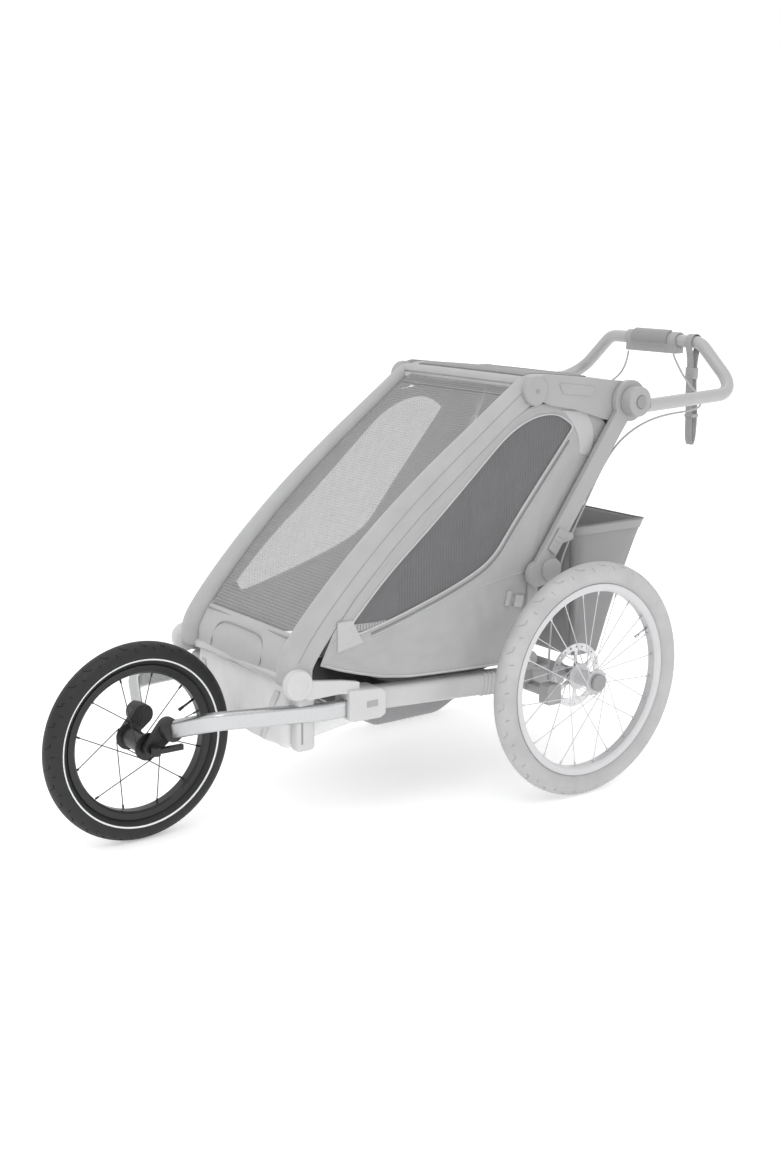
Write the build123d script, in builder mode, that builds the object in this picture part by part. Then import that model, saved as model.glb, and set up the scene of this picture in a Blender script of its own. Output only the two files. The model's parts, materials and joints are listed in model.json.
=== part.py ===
from build123d import *
from math import atan2, cos, degrees, pi, radians, sin
import os

os.makedirs("parts", exist_ok=True)

# A single-seat child trailer with a three-wheel jogging kit.
# +Z is up and +X points to the rear; the left side is -Y.
# Lengths along X are given from the rear axle, and at() turns them into the part's own frame.

# Overall sizes
REAR_TYRE_R = 247.5
REAR_TRACK = 620.0
JOG_TYRE_R = 197.5
JOG_REACH = 882.5
GRIP_X, GRIP_Z = 477.0, 908.0
HOUSING_R = 19.0
AXLE_X = (JOG_REACH + JOG_TYRE_R - GRIP_X - HOUSING_R) / 2

# Wheels
TYRE_D = 46.0
TYRE_WALL = 3.2
RIM_WIDTH = 26.0
RIM_DEPTH = 16.0
RIM_WALL = 2.5
RIM_BELOW_TYRE = 44.5
SPOKE_D = 2.0
NIPPLE_D = 4.0
NIPPLE_LENGTH = 9.0
SPOKE_GAP = 0.3
SPOKE_STANDOFF = 1.0
REAR_SPOKE_PAIRS = 12
JOG_SPOKE_PAIRS = 6
REAR_HUB_HALF = 27.0
JOG_HUB_HALF = 40.0
REAR_HUB_R = 17.0
JOG_HUB_R = 19.0
FLANGE_R = 27.0
FLANGE_THICK = 3.5
ROTOR_R = 68.0
ROTOR_THICK = 2.0
ROTOR_INSET = 38.0
AXLE_STUB_R = 7.5
JOG_AXLE_R = 4.5
RUNNING = 0.05
GAP = 0.3

# Frame, as distances from the rear axle and heights
PILLAR_FOOT_X, PILLAR_FOOT_Z = -655.5, 324.0
PILLAR_LOW_X, PILLAR_LOW_Z = -650.0, 378.0
PILLAR_MID_X, PILLAR_MID_Z = -415.0, 606.0
ROOF_FRONT_X, ROOF_FRONT_Z = -93.5, 849.0
HUB_X, HUB_Z = 168.0, 806.0
KNUCKLE_X, KNUCKLE_Z = -45.0, 472.0
PILLAR_HALF = 197.0
PILLAR_TUBE_D = 22.0
TUBE_WALL = 2.0
RAIL_HALF = 197.0
RAIL_WIDTH = 30.0
RAIL_HEIGHT = 48.0
RAIL_FRONT_X, RAIL_FRONT_Z = -500.0, 264.6
RAIL_REAR_X = 28.0
RAIL_SLOPE = -0.066
HINGE_PIN_R = 6.0
CORNER_R = 29.0
BEAM_D = 28.0

# Side layers, as distances left and right of the centre plane
COVER_OUT = 213.0
COVER_THICK = 2.0
PANEL_IN = 213.2
PANEL_OUT = 214.8
HOUSING_IN = 215.2
HOUSING_OUT = 222.0
UPRIGHT_IN = 222.5
UPRIGHT_OUT = 235.5
ARM_LINE = 250.0

# Handlebar
BAR_D = 28.0
BAR_WALL = 2.0
GRIP_HALF = 139.0
BAR_BEND_X, BAR_BEND_Z = GRIP_X, 806.0
BAR_BENDS = [60, 48, 48, 60]
BAR_START_X, BAR_START_Z = 190.0, 795.0
DRUM_R = 43.0
PIVOT_HUB_R = 31.0
PIVOT_SHAFT_R = 12.0
PIVOT_BUTTON_R = 13.0
UPRIGHT_WIDTH = 38.0

# Jogging kit
ARM_HALF = 207.0
ARM_Z = 258.0
ARM_WIDTH = 22.0
ARM_HEIGHT = 34.0
ARM_END_X = -505.0
SOCKET_MOUTH_X = -545.0
ARM_CLEARANCE = 0.06
FORK_HALF = 45.0
FORK_THICK = 13.0

LINING = 3.0


def at(x, z):
    """Side-view point, from its distance behind the rear axle and its height."""
    return (AXLE_X + x, z)


def save(piece, name):
    piece.label = name
    export_step(piece, f"parts/{name}.step")


def save_pair(piece, name):
    """Left piece as it is, and its mirror image for the right."""
    save(piece, f"{name}_left")
    with BuildPart() as right:
        mirror(piece, about=Plane.XZ)
    save(right.part, f"{name}_right")


def plate(points, y_in, y_out, radius=0):
    """Side-view outline made solid between two distances left of the centre plane."""
    with BuildPart() as piece:
        with BuildSketch(Plane.XZ.offset(y_in)):
            with BuildLine():
                if radius:
                    FilletPolyline(*points, radius=radius, close=True)
                else:
                    Polyline(*points, close=True)
            make_face()
        extrude(amount=y_out - y_in)
    return piece.part


def drum(centre, radius, y_in, y_out):
    """Round piece on a cross axis, between two distances left of the centre plane."""
    with BuildPart() as piece:
        with BuildSketch(Plane.XZ.offset(y_in)):
            with Locations(centre):
                Circle(radius)
        extrude(amount=y_out - y_in)
    return piece.part


def link(first, first_r, second, second_r, y_in, y_out):
    """Plate hulled around two round ends, between two distances left of the centre plane."""
    with BuildPart() as piece:
        with BuildSketch(Plane.XZ.offset(y_in)):
            with Locations(first):
                Circle(first_r)
            with Locations(second):
                Circle(second_r)
            make_hull()
        extrude(amount=y_out - y_in)
    return piece.part


def pipe(points, radii, outer, wall=0.0):
    """Round tube or rod along straight runs joined by arcs."""
    with BuildPart() as piece:
        with BuildLine() as route:
            FilletPolyline(*points, radius=radii)
        with BuildSketch(Plane(origin=route.line @ 0, z_dir=route.line % 0)):
            Circle(outer / 2)
            if wall:
                Circle(outer / 2 - wall, mode=Mode.SUBTRACT)
        sweep()
    return piece.part


def box(x_from, x_to, y_from, y_to, z_from, z_to):
    """Block between limits; its X limits are measured from the rear axle."""
    with BuildPart() as piece:
        with Locations((AXLE_X + (x_from + x_to) / 2, (y_from + y_to) / 2, (z_from + z_to) / 2)):
            Box(x_to - x_from, y_to - y_from, z_to - z_from)
    return piece.part


# ---------------------------------------------------------------- wheels

def ring(points, x, z):
    """Ring turned about a cross axis, from its (y, radius) section points."""
    with BuildPart() as piece:
        with BuildSketch(Plane.YZ.offset(AXLE_X + x)):
            with BuildLine():
                Polyline(*[(y, z + r) for y, r in points], close=True)
            make_face()
        revolve(axis=Axis((AXLE_X + x, 0, z), (0, 1, 0)), revolution_arc=360)
    return piece.part


def make_tyre(x, y, radius):
    """Open-bottomed tyre that sits on the rim's two edges."""
    seat = radius - RIM_BELOW_TYRE
    middle = radius + radius - TYRE_D / 2
    with BuildPart() as tyre:
        with BuildSketch(Plane.YZ.offset(AXLE_X + x)):
            with Locations((y, middle)):
                Circle(TYRE_D / 2)
                Circle(TYRE_D / 2 - TYRE_WALL, mode=Mode.SUBTRACT)
            with Locations((y, radius + seat - TYRE_D / 2)):
                Rectangle(TYRE_D, TYRE_D, mode=Mode.SUBTRACT)
        revolve(axis=Axis((AXLE_X + x, 0, radius), (0, 1, 0)), revolution_arc=360)
    return tyre.part


def make_rim(x, y, radius):
    """Channel rim, open outwards towards the tyre."""
    seat = radius - RIM_BELOW_TYRE
    floor = seat - RIM_DEPTH
    half = RIM_WIDTH / 2
    section = [
        (y - half, seat), (y - half, floor + 4), (y - half + 4, floor), (y + half - 4, floor),
        (y + half, floor + 4), (y + half, seat), (y + half - RIM_WALL, seat),
        (y + half - RIM_WALL, floor + RIM_WALL + 3), (y - half + RIM_WALL, floor + RIM_WALL + 3),
        (y - half + RIM_WALL, seat),
    ]
    return ring(section, x, radius)


def make_hub(x, y, radius, half, barrel_r, bore_r):
    """Barrel with two spoke flanges and a running bore."""
    flange = half - FLANGE_THICK
    section = [
        (y - half, bore_r + RUNNING), (y - half, FLANGE_R), (y - flange, FLANGE_R),
        (y - flange + 2, barrel_r), (y + flange - 2, barrel_r), (y + flange, FLANGE_R),
        (y + half, FLANGE_R), (y + half, bore_r + RUNNING),
    ]
    return ring(section, x, radius)


def make_spokes(x, y, radius, half, pairs):
    """Tangent spokes from both hub flanges to nipples at the rim."""
    rim_r = radius - RIM_BELOW_TYRE - RIM_DEPTH - SPOKE_GAP
    step = 2 * pi / pairs
    hole_r = FLANGE_R - 1
    with BuildPart() as spokes:
        for count in range(pairs):
            for side in (-1, 1):
                rim_turn = count * step + side * step / 4
                hub_turn = rim_turn + side * radians(58)
                flange_y = y + side * (half + SPOKE_D / 2 + SPOKE_STANDOFF)
                low = Vector(AXLE_X + x + hole_r * sin(hub_turn), flange_y, radius + hole_r * cos(hub_turn))
                high = Vector(AXLE_X + x + rim_r * sin(rim_turn), y + side * 2, radius + rim_r * cos(rim_turn))
                way = (high - low).normalized()
                with BuildSketch(Plane(origin=low, z_dir=way)):
                    Circle(SPOKE_D / 2)
                extrude(amount=(high - low).length - NIPPLE_LENGTH / 2)
                with BuildSketch(Plane(origin=high - way * NIPPLE_LENGTH, z_dir=way)):
                    Circle(NIPPLE_D / 2)
                extrude(amount=NIPPLE_LENGTH - 3 * SPOKE_GAP)
    return spokes.part


wheel_y = -REAR_TRACK / 2
save_pair(make_tyre(0, wheel_y, REAR_TYRE_R), "tyre")
save_pair(make_rim(0, wheel_y, REAR_TYRE_R), "rim")
save_pair(make_hub(0, wheel_y, REAR_TYRE_R, REAR_HUB_HALF, REAR_HUB_R, AXLE_STUB_R), "hub")
save_pair(make_spokes(0, wheel_y, REAR_TYRE_R, REAR_HUB_HALF, REAR_SPOKE_PAIRS), "spokes")

# Brake rotor: a drilled ring on a carrier, against the hub's inner flange
hub_inner = REAR_TRACK / 2 - REAR_HUB_HALF
rotor_y = REAR_TRACK / 2 - ROTOR_INSET
ROTOR_RING_IN = ROTOR_R - 15
ROTOR_HOLE_R = 2.2
ROTOR_HOLES = 24
ROTOR_ARM_WIDTH = 9.0
ROTOR_BOSS_R = 16.0
with BuildPart() as rotor:
    with BuildSketch(Plane.XZ.offset(rotor_y)):
        with Locations(at(0, REAR_TYRE_R)):
            Circle(ROTOR_R)
            Circle(ROTOR_RING_IN, mode=Mode.SUBTRACT)
            for arm in range(3):
                Rectangle(ROTOR_ARM_WIDTH, 2 * ROTOR_RING_IN + 4, rotation=arm * 60)
            Circle(ROTOR_BOSS_R)
            Circle(AXLE_STUB_R + 1, mode=Mode.SUBTRACT)
            with PolarLocations(ROTOR_R - 7, ROTOR_HOLES):
                Circle(ROTOR_HOLE_R, mode=Mode.SUBTRACT)
    extrude(amount=ROTOR_THICK)
    with BuildSketch(Plane.XZ.offset(rotor_y + ROTOR_THICK)):
        with Locations(at(0, REAR_TYRE_R)):
            Circle(ROTOR_BOSS_R)
            Circle(AXLE_STUB_R + 1, mode=Mode.SUBTRACT)
    extrude(amount=hub_inner - rotor_y - ROTOR_THICK)
save_pair(rotor.part, "rotor")

# Push button in the wheel's outer end: it frees the wheel from its axle stub
hub_outer = REAR_TRACK / 2 + REAR_HUB_HALF
BUTTON_TRAVEL = 4.0
button_seat = hub_outer - 6
with BuildPart() as release_button:
    with BuildSketch(Plane.XZ.offset(hub_outer + GAP + BUTTON_TRAVEL)):
        with Locations(at(0, REAR_TYRE_R)):
            Circle(18)
    extrude(amount=6)
    fillet(release_button.faces().sort_by(Axis.Y)[0].edges(), 2.5)
    with BuildSketch(Plane.XZ.offset(button_seat)):
        with Locations(at(0, REAR_TYRE_R)):
            Circle(AXLE_STUB_R - 1)
    extrude(amount=hub_outer + GAP + BUTTON_TRAVEL - button_seat)
save_pair(release_button.part, "release_button")

# Jogging wheel
save(make_tyre(-JOG_REACH, 0, JOG_TYRE_R), "jog_tyre")
save(make_rim(-JOG_REACH, 0, JOG_TYRE_R), "jog_rim")
save(make_hub(-JOG_REACH, 0, JOG_TYRE_R, JOG_HUB_HALF, JOG_HUB_R, JOG_AXLE_R), "jog_hub")
save(make_spokes(-JOG_REACH, 0, JOG_TYRE_R, JOG_HUB_HALF, JOG_SPOKE_PAIRS), "jog_spokes")

# ---------------------------------------------------------------- base frame


def rail_z(x):
    """Height of the side rail's centre line."""
    return RAIL_FRONT_Z + (x - RAIL_FRONT_X) * RAIL_SLOPE


rail_run = Vector(RAIL_REAR_X - RAIL_FRONT_X, 0, rail_z(RAIL_REAR_X) - RAIL_FRONT_Z)
rail_start = Plane(
    origin=(AXLE_X + RAIL_FRONT_X, -RAIL_HALF, RAIL_FRONT_Z), x_dir=(0, 1, 0), z_dir=rail_run
)
COLLAR_X, COLLAR_LENGTH = -196.0, 42.0
BEAM_BORE = BEAM_D / 2
with BuildPart() as side_rail:
    with BuildSketch(rail_start):
        RectangleRounded(RAIL_WIDTH, RAIL_HEIGHT, 11)
        offset(amount=-2.5, mode=Mode.SUBTRACT)
    extrude(amount=rail_run.length)
    for rib in range(5):
        collar_x = COLLAR_X + rib * COLLAR_LENGTH / 4
        origin = (AXLE_X + collar_x, -RAIL_HALF, rail_z(collar_x))
        with BuildSketch(Plane(origin=origin, x_dir=(0, 1, 0), z_dir=rail_run)):
            RectangleRounded(RAIL_WIDTH + 1.6, RAIL_HEIGHT + 4, 12)
            RectangleRounded(RAIL_WIDTH - 3, RAIL_HEIGHT - 3, 10, mode=Mode.SUBTRACT)
        extrude(amount=6)
    add(drum(at(0, REAR_TYRE_R), BEAM_BORE, 150, 250), mode=Mode.SUBTRACT)
save_pair(side_rail.part, "side_rail")

# Axle beam: one tube through both rails, with the wheel stubs at its ends
BEAM_END = REAR_TRACK / 2 - ROTOR_INSET - 10
with BuildPart() as axle_beam:
    with BuildSketch(Plane.XZ.offset(-BEAM_END)):
        with Locations(at(0, REAR_TYRE_R)):
            Circle(BEAM_D / 2)
    extrude(amount=2 * BEAM_END)
    with BuildSketch(Plane.XZ.offset(-BEAM_END)):
        with Locations(at(0, REAR_TYRE_R)):
            Circle(BEAM_D / 2 - 3)
    extrude(amount=2 * BEAM_END, mode=Mode.SUBTRACT)
    for side in (-1, 1):
        with BuildSketch(Plane.XZ.offset(side * BEAM_END)):
            with Locations(at(0, REAR_TYRE_R)):
                Circle(BEAM_D / 2)
        extrude(amount=-side * 14)
        with BuildSketch(Plane.XZ.offset(side * BEAM_END)):
            with Locations(at(0, REAR_TYRE_R)):
                Circle(AXLE_STUB_R)
        extrude(amount=side * (button_seat - BUTTON_TRAVEL - 1 - BEAM_END))
save(axle_beam.part, "axle_beam")

# Front cross tube between the two corner joints, on the pillars' folding axis
foot = at(PILLAR_FOOT_X, PILLAR_FOOT_Z)
PIN_IN = 184.0
with BuildPart() as front_cross_tube:
    with BuildSketch(Plane.XZ.offset(-PIN_IN)):
        with Locations(foot):
            Circle(10)
            Circle(8, mode=Mode.SUBTRACT)
    extrude(amount=2 * PIN_IN)
save(front_cross_tube.part, "front_cross_tube")

# Arm socket: moulded sleeve that grips the rail's front end and takes the jogging arm
SOCKET_REAR_X = -458.0
SOCKET_TOP_Z = 296.0
SOCKET_IN, SOCKET_OUT = 178.0, 228.0
SOCKET_ROUND = 5.0
socket_outline = [
    at(SOCKET_MOUTH_X, SOCKET_TOP_Z), at(-470, 289), at(SOCKET_REAR_X, 282), at(SOCKET_REAR_X, 236),
    at(-470, 229), at(-535, 231), at(SOCKET_MOUTH_X, 236),
]
with BuildPart() as solid_rail:
    with BuildSketch(rail_start):
        RectangleRounded(RAIL_WIDTH, RAIL_HEIGHT, 11)
    extrude(amount=rail_run.length)
with BuildPart() as arm_socket:
    add(plate(socket_outline, SOCKET_IN, SOCKET_OUT, radius=SOCKET_ROUND))
    fillet(arm_socket.faces().sort_by(Axis.Y)[0].edges(), 4)
    add(solid_rail.part, mode=Mode.SUBTRACT)
    add(
        box(
            SOCKET_MOUTH_X - 1, ARM_END_X,
            -ARM_HALF - ARM_WIDTH / 2 - ARM_CLEARANCE, -ARM_HALF + ARM_WIDTH / 2 + ARM_CLEARANCE,
            ARM_Z - ARM_HEIGHT / 2 - ARM_CLEARANCE, ARM_Z + ARM_HEIGHT / 2 + ARM_CLEARANCE,
        ),
        mode=Mode.SUBTRACT,
    )
save_pair(arm_socket.part, "arm_socket")

# Corner joint: round cap, pin for the pillar's foot and a leg down to the arm socket
CORNER_IN, CORNER_OUT = 209.0, 226.0
LEG_END_X = -518.0
LEG_THICK = 12.0
with BuildPart() as corner_joint:
    add(drum(foot, CORNER_R, CORNER_IN, CORNER_OUT))
    fillet(corner_joint.faces().sort_by(Axis.Y)[0].edges(), 6)
    add(drum(foot, HINGE_PIN_R, PIN_IN, CORNER_IN))
    leg = [
        at(-676, 310), at(-634, 292), at(SOCKET_MOUTH_X - 20, 292), at(LEG_END_X, 285),
        at(LEG_END_X, 308), at(-552, 316), at(-640, 330),
    ]
    add(plate(leg, CORNER_IN, CORNER_IN + LEG_THICK))
    add(solid_rail.part, mode=Mode.SUBTRACT)
    add(plate(socket_outline, SOCKET_IN, SOCKET_OUT, radius=SOCKET_ROUND), mode=Mode.SUBTRACT)
save_pair(corner_joint.part, "corner_joint")

# Foot box at the front of the cabin
FOOT_HALF = 176.0
foot_side = [
    at(-648, 312), at(-659, 192), at(-644, 181), at(-622, 186), at(-604, 200), at(-604, 312),
]
foot_hollow = [
    at(-644, 313), at(-655.5, 194), at(-643, 184.5), at(-623, 189), at(-603, 204), at(-603, 313),
]
with BuildPart() as foot_panel:
    add(plate(foot_side, -FOOT_HALF, FOOT_HALF))
    add(plate(foot_hollow, -FOOT_HALF + LINING, FOOT_HALF - LINING), mode=Mode.SUBTRACT)
save(foot_panel.part, "foot_panel")

# Floor tub, hung between the rails
FLOOR_FRONT_X, FLOOR_REAR_X = -603.5, -42.0
FLOOR_Z, FLOOR_EDGE_Z = 178.0, 236.0
FLOOR_HALF, FLOOR_EDGE_HALF = 148.0, 177.0
with BuildPart() as floor_pan:
    for inset, mode in ((0.0, Mode.ADD), (LINING, Mode.SUBTRACT)):
        with BuildSketch(Plane.YZ.offset(AXLE_X + FLOOR_FRONT_X - inset)):
            with BuildLine():
                Polyline(
                    (-FLOOR_EDGE_HALF + inset, FLOOR_EDGE_Z + inset),
                    (-FLOOR_HALF + inset * 0.7, FLOOR_Z + inset),
                    (FLOOR_HALF - inset * 0.7, FLOOR_Z + inset),
                    (FLOOR_EDGE_HALF - inset, FLOOR_EDGE_Z + inset),
                    close=True,
                )
            make_face()
        extrude(amount=FLOOR_REAR_X - FLOOR_FRONT_X, mode=mode)
save(floor_pan.part, "floor_pan")

# ---------------------------------------------------------------- front hoop and its cover

pillar = [
    (PILLAR_FOOT_X, PILLAR_FOOT_Z), (PILLAR_LOW_X, PILLAR_LOW_Z),
    (PILLAR_MID_X, PILLAR_MID_Z), (ROOF_FRONT_X, ROOF_FRONT_Z),
]
roof_front = at(ROOF_FRONT_X, ROOF_FRONT_Z)
EYE_R = 12.5
left_run = [(AXLE_X + x, -PILLAR_HALF, z) for x, z in pillar]
right_run = [(AXLE_X + x, PILLAR_HALF, z) for x, z in reversed(pillar)]
with BuildPart() as front_hoop:
    add(pipe(left_run + right_run, [60, 400, 40, 40, 400, 60], PILLAR_TUBE_D, TUBE_WALL))
    for centre in (foot, roof_front):
        for y_in, y_out in ((185, 208), (-208, -185)):
            add(drum(centre, EYE_R, y_in, y_out))
        for y_in, y_out in ((180, 220), (-220, -180)):
            add(drum(centre, HINGE_PIN_R + RUNNING, y_in, y_out), mode=Mode.SUBTRACT)
save(front_hoop.part, "front_hoop")


def offset_point(x, z, turn, distance):
    """Point at a distance from a side-view point, square to a direction in degrees."""
    return at(x - distance * sin(radians(turn)), z + distance * cos(radians(turn)))


COVER_RISE = 19.0
low_turn = degrees(atan2(PILLAR_LOW_Z - PILLAR_FOOT_Z, PILLAR_LOW_X - PILLAR_FOOT_X))
mid_turn = degrees(atan2(PILLAR_MID_Z - PILLAR_LOW_Z, PILLAR_MID_X - PILLAR_LOW_X))
top_turn = degrees(atan2(ROOF_FRONT_Z - PILLAR_MID_Z, ROOF_FRONT_X - PILLAR_MID_X))
cover_line = [
    offset_point(PILLAR_FOOT_X, PILLAR_FOOT_Z, low_turn, COVER_RISE),
    offset_point(PILLAR_LOW_X, PILLAR_LOW_Z, (low_turn + mid_turn) / 2, COVER_RISE + 1),
    offset_point(PILLAR_MID_X, PILLAR_MID_Z, (mid_turn + top_turn) / 2, COVER_RISE),
    offset_point(ROOF_FRONT_X, ROOF_FRONT_Z, top_turn, COVER_RISE),
]
flange_line = [
    offset_point(ROOF_FRONT_X, ROOF_FRONT_Z, top_turn, -30),
    offset_point(PILLAR_MID_X, PILLAR_MID_Z, (mid_turn + top_turn) / 2, -30),
    offset_point(PILLAR_LOW_X, PILLAR_LOW_Z, mid_turn, -30),
]
with BuildPart() as front_cover:
    with BuildSketch(Plane.XZ.offset(-COVER_OUT)):
        with BuildLine():
            FilletPolyline(*cover_line, radius=[60, 300])
            offset(amount=COVER_THICK, side=Side.LEFT)
        make_face()
    extrude(amount=2 * COVER_OUT)
    flange = plate(cover_line + flange_line, COVER_OUT - COVER_THICK, COVER_OUT)
    add(flange)
    mirror(flange, about=Plane.XZ)
    for side in (-1, 1):
        add(drum(foot, CORNER_R + 4, side * 206 - 10, side * 206 + 10), mode=Mode.SUBTRACT)
        add(drum(roof_front, HINGE_PIN_R + 3, side * 206 - 10, side * 206 + 10), mode=Mode.SUBTRACT)
save(front_cover.part, "front_cover")

# ---------------------------------------------------------------- roof link

hub = at(HUB_X, HUB_Z)
housing_outline = [
    at(-112, 836), at(-104, 864), at(-60, 872), at(140, 849), at(196, 842), at(200, 770),
    at(150, 760), at(103, 771), at(25, 795), at(-44, 808),
]
with BuildPart() as hinge_housing:
    add(plate(housing_outline, HOUSING_IN, HOUSING_OUT, radius=[8, 12, 20, 20, 20, 18, 14, 40, 40, 20]))
    add(drum(roof_front, HINGE_PIN_R, PIN_IN + 6, HOUSING_IN))
save_pair(hinge_housing.part, "hinge_housing")

ROOF_HALF = 214.6
roof_line = [at(-86, 864), at(-60, 870), at(140, 847), at(196, 838), at(204, 806)]
with BuildPart() as roof_cover:
    with BuildSketch(Plane.XZ.offset(-ROOF_HALF)):
        with BuildLine():
            FilletPolyline(*roof_line, radius=[20, 60, 16])
            offset(amount=3, side=Side.RIGHT)
        make_face()
    extrude(amount=2 * ROOF_HALF)
save(roof_cover.part, "roof_cover")

# ---------------------------------------------------------------- uprights

knuckle = at(KNUCKLE_X, KNUCKLE_Z)
UPRIGHT_LOW_X, UPRIGHT_LOW_Z = -66.0, 480.0
UPRIGHT_TOP_X, UPRIGHT_TOP_Z = 125.0, 748.0
KNUCKLE_R = 27.0
CAP_R = 24.0
upright_low = at(UPRIGHT_LOW_X, UPRIGHT_LOW_Z)
upright_top = at(UPRIGHT_TOP_X, UPRIGHT_TOP_Z)
upright_turn = atan2(UPRIGHT_TOP_Z - UPRIGHT_LOW_Z, UPRIGHT_TOP_X - UPRIGHT_LOW_X)
HOOK_X, HOOK_Z = 10.0, 535.0
with BuildPart() as upright:
    add(link(upright_low, UPRIGHT_WIDTH / 2, upright_top, UPRIGHT_WIDTH / 2, UPRIGHT_IN, UPRIGHT_OUT))
    add(link(upright_top, UPRIGHT_WIDTH / 2, hub, UPRIGHT_WIDTH / 2, UPRIGHT_IN, UPRIGHT_OUT))
    add(link(knuckle, KNUCKLE_R, at(-76, 466), KNUCKLE_R, UPRIGHT_IN, UPRIGHT_OUT))
    add(drum(hub, DRUM_R, UPRIGHT_IN, UPRIGHT_OUT))
    add(link(at(HOOK_X - 26, HOOK_Z), 12, at(HOOK_X, HOOK_Z), 8, UPRIGHT_IN, UPRIGHT_OUT))
    add(drum(knuckle, HINGE_PIN_R + RUNNING, UPRIGHT_IN - 5, UPRIGHT_OUT + 5), mode=Mode.SUBTRACT)
    add(drum(hub, PIVOT_SHAFT_R + RUNNING, UPRIGHT_IN - 5, UPRIGHT_OUT + 5), mode=Mode.SUBTRACT)
    add(drum(at(HOOK_X, HOOK_Z), 4.5, UPRIGHT_IN - 5, UPRIGHT_IN + 9), mode=Mode.SUBTRACT)
save_pair(upright.part, "upright")

# Lower upright: strut from the rail to the knuckle, with the knuckle's pin and cap
BOSS_X, BOSS_Z = -97.0, 287.0
BOSS_R = 20.0
boss = at(BOSS_X, BOSS_Z)
STRUT_IN = PANEL_OUT + 0.4
STRUT_OUT = HOUSING_OUT
with BuildPart() as lower_upright:
    add(link(boss, 13, at(-74, 458), 12, STRUT_IN, STRUT_OUT))
    add(link(at(-74, 458), 12, knuckle, KNUCKLE_R, STRUT_IN, STRUT_OUT))
    add(drum(boss, BOSS_R, STRUT_IN, 240))
    add(drum(boss, 6, 234, 241), mode=Mode.SUBTRACT)
    add(drum(knuckle, HINGE_PIN_R, STRUT_OUT, UPRIGHT_OUT + GAP + 1))
    add(drum(knuckle, CAP_R, UPRIGHT_OUT + GAP, UPRIGHT_OUT + 7))
    bracket = [at(-117, 287), at(-77, 287), at(-70, 232), at(-124, 232)]
    add(plate(bracket, STRUT_IN, STRUT_OUT))
    rail_pad = [at(-73, 262), at(-121, 262), at(-124, 232), at(-70, 232)]
    add(plate(rail_pad, 205, STRUT_OUT))
    add(solid_rail.part, mode=Mode.SUBTRACT)
save_pair(lower_upright.part, "lower_upright")

# Fold latch: a sliding catch on the upright, just above the knuckle
LATCH_LENGTH, LATCH_WIDTH, LATCH_THICK = 52.0, 24.0, 5.0
latch_x = UPRIGHT_LOW_X + 62 * cos(upright_turn)
latch_z = UPRIGHT_LOW_Z + 62 * sin(upright_turn)
latch_plane = Plane(
    origin=(AXLE_X + latch_x, -UPRIGHT_OUT - GAP, latch_z),
    x_dir=(cos(upright_turn), 0, sin(upright_turn)), z_dir=(0, -1, 0),
)
with BuildPart() as fold_latch:
    with BuildSketch(latch_plane):
        RectangleRounded(LATCH_LENGTH, LATCH_WIDTH, 4)
    extrude(amount=LATCH_THICK)
    fillet(fold_latch.faces().sort_by(Axis.Y)[0].edges(), 1.5)
save_pair(fold_latch.part, "fold_latch")

# Bag hoop: a rod hooked into both uprights, along the bag's front rim
HOOP_R = 4.4
with BuildPart() as bag_hoop:
    hoop_x = AXLE_X + HOOK_X
    route = [
        (hoop_x, -UPRIGHT_IN - 8, HOOK_Z), (hoop_x, -UPRIGHT_IN + 22, HOOK_Z), (hoop_x + 76, -150, HOOK_Z),
        (hoop_x + 76, 150, HOOK_Z), (hoop_x, UPRIGHT_IN - 22, HOOK_Z), (hoop_x, UPRIGHT_IN + 8, HOOK_Z),
    ]
    add(pipe(route, [14, 20, 20, 14], 2 * HOOP_R))
save(bag_hoop.part, "bag_hoop")

# ---------------------------------------------------------------- handlebar

bar_half = [
    (AXLE_X + BAR_START_X, -ARM_LINE, BAR_START_Z), (AXLE_X + BAR_BEND_X, -ARM_LINE, BAR_BEND_Z),
    (AXLE_X + GRIP_X, -GRIP_HALF, GRIP_Z),
]
bar_points = bar_half + [(x, -y, z) for x, y, z in reversed(bar_half)]
grip = at(GRIP_X, GRIP_Z)
HUB_CAP_IN = UPRIGHT_OUT + GAP + 0.2
HUB_CAP_OUT = ARM_LINE + BAR_D / 2 + 1
SHAFT_IN = HOUSING_OUT + 0.2
with BuildPart() as handlebar_tube:
    add(pipe(bar_points, BAR_BENDS, BAR_D, BAR_WALL))
    for side in (-1, 1):
        cap = sorted((side * (HUB_CAP_IN - 1), side * (HUB_CAP_OUT + 1)))
        add(drum(hub, PIVOT_HUB_R, *cap), mode=Mode.SUBTRACT)
save(handlebar_tube.part, "handlebar_tube")

with BuildPart() as pivot_hub:
    add(drum(hub, PIVOT_HUB_R, HUB_CAP_IN, HUB_CAP_OUT))
    fillet(pivot_hub.faces().sort_by(Axis.Y)[0].edges(), 5)
    add(drum(hub, PIVOT_SHAFT_R, SHAFT_IN, HUB_CAP_IN))
    add(drum(hub, PIVOT_BUTTON_R + RUNNING, HUB_CAP_OUT - 9, HUB_CAP_OUT + 1), mode=Mode.SUBTRACT)
save_pair(pivot_hub.part, "pivot_hub")

with BuildPart() as pivot_button:
    add(drum(hub, PIVOT_BUTTON_R, HUB_CAP_OUT - 4, HUB_CAP_OUT + 2.5))
    fillet(pivot_button.faces().sort_by(Axis.Y)[0].edges(), 1.5)
save_pair(pivot_button.part, "pivot_button")

POD_HALF = 78.0
with BuildPart() as brake_housing:
    add(drum(grip, HOUSING_R, -POD_HALF, POD_HALF))
    add(box(GRIP_X - 13, GRIP_X + 13, -POD_HALF, POD_HALF, GRIP_Z - 29, GRIP_Z))
    add(drum(grip, BAR_D / 2, -POD_HALF, POD_HALF), mode=Mode.SUBTRACT)
save(brake_housing.part, "brake_housing")

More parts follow.
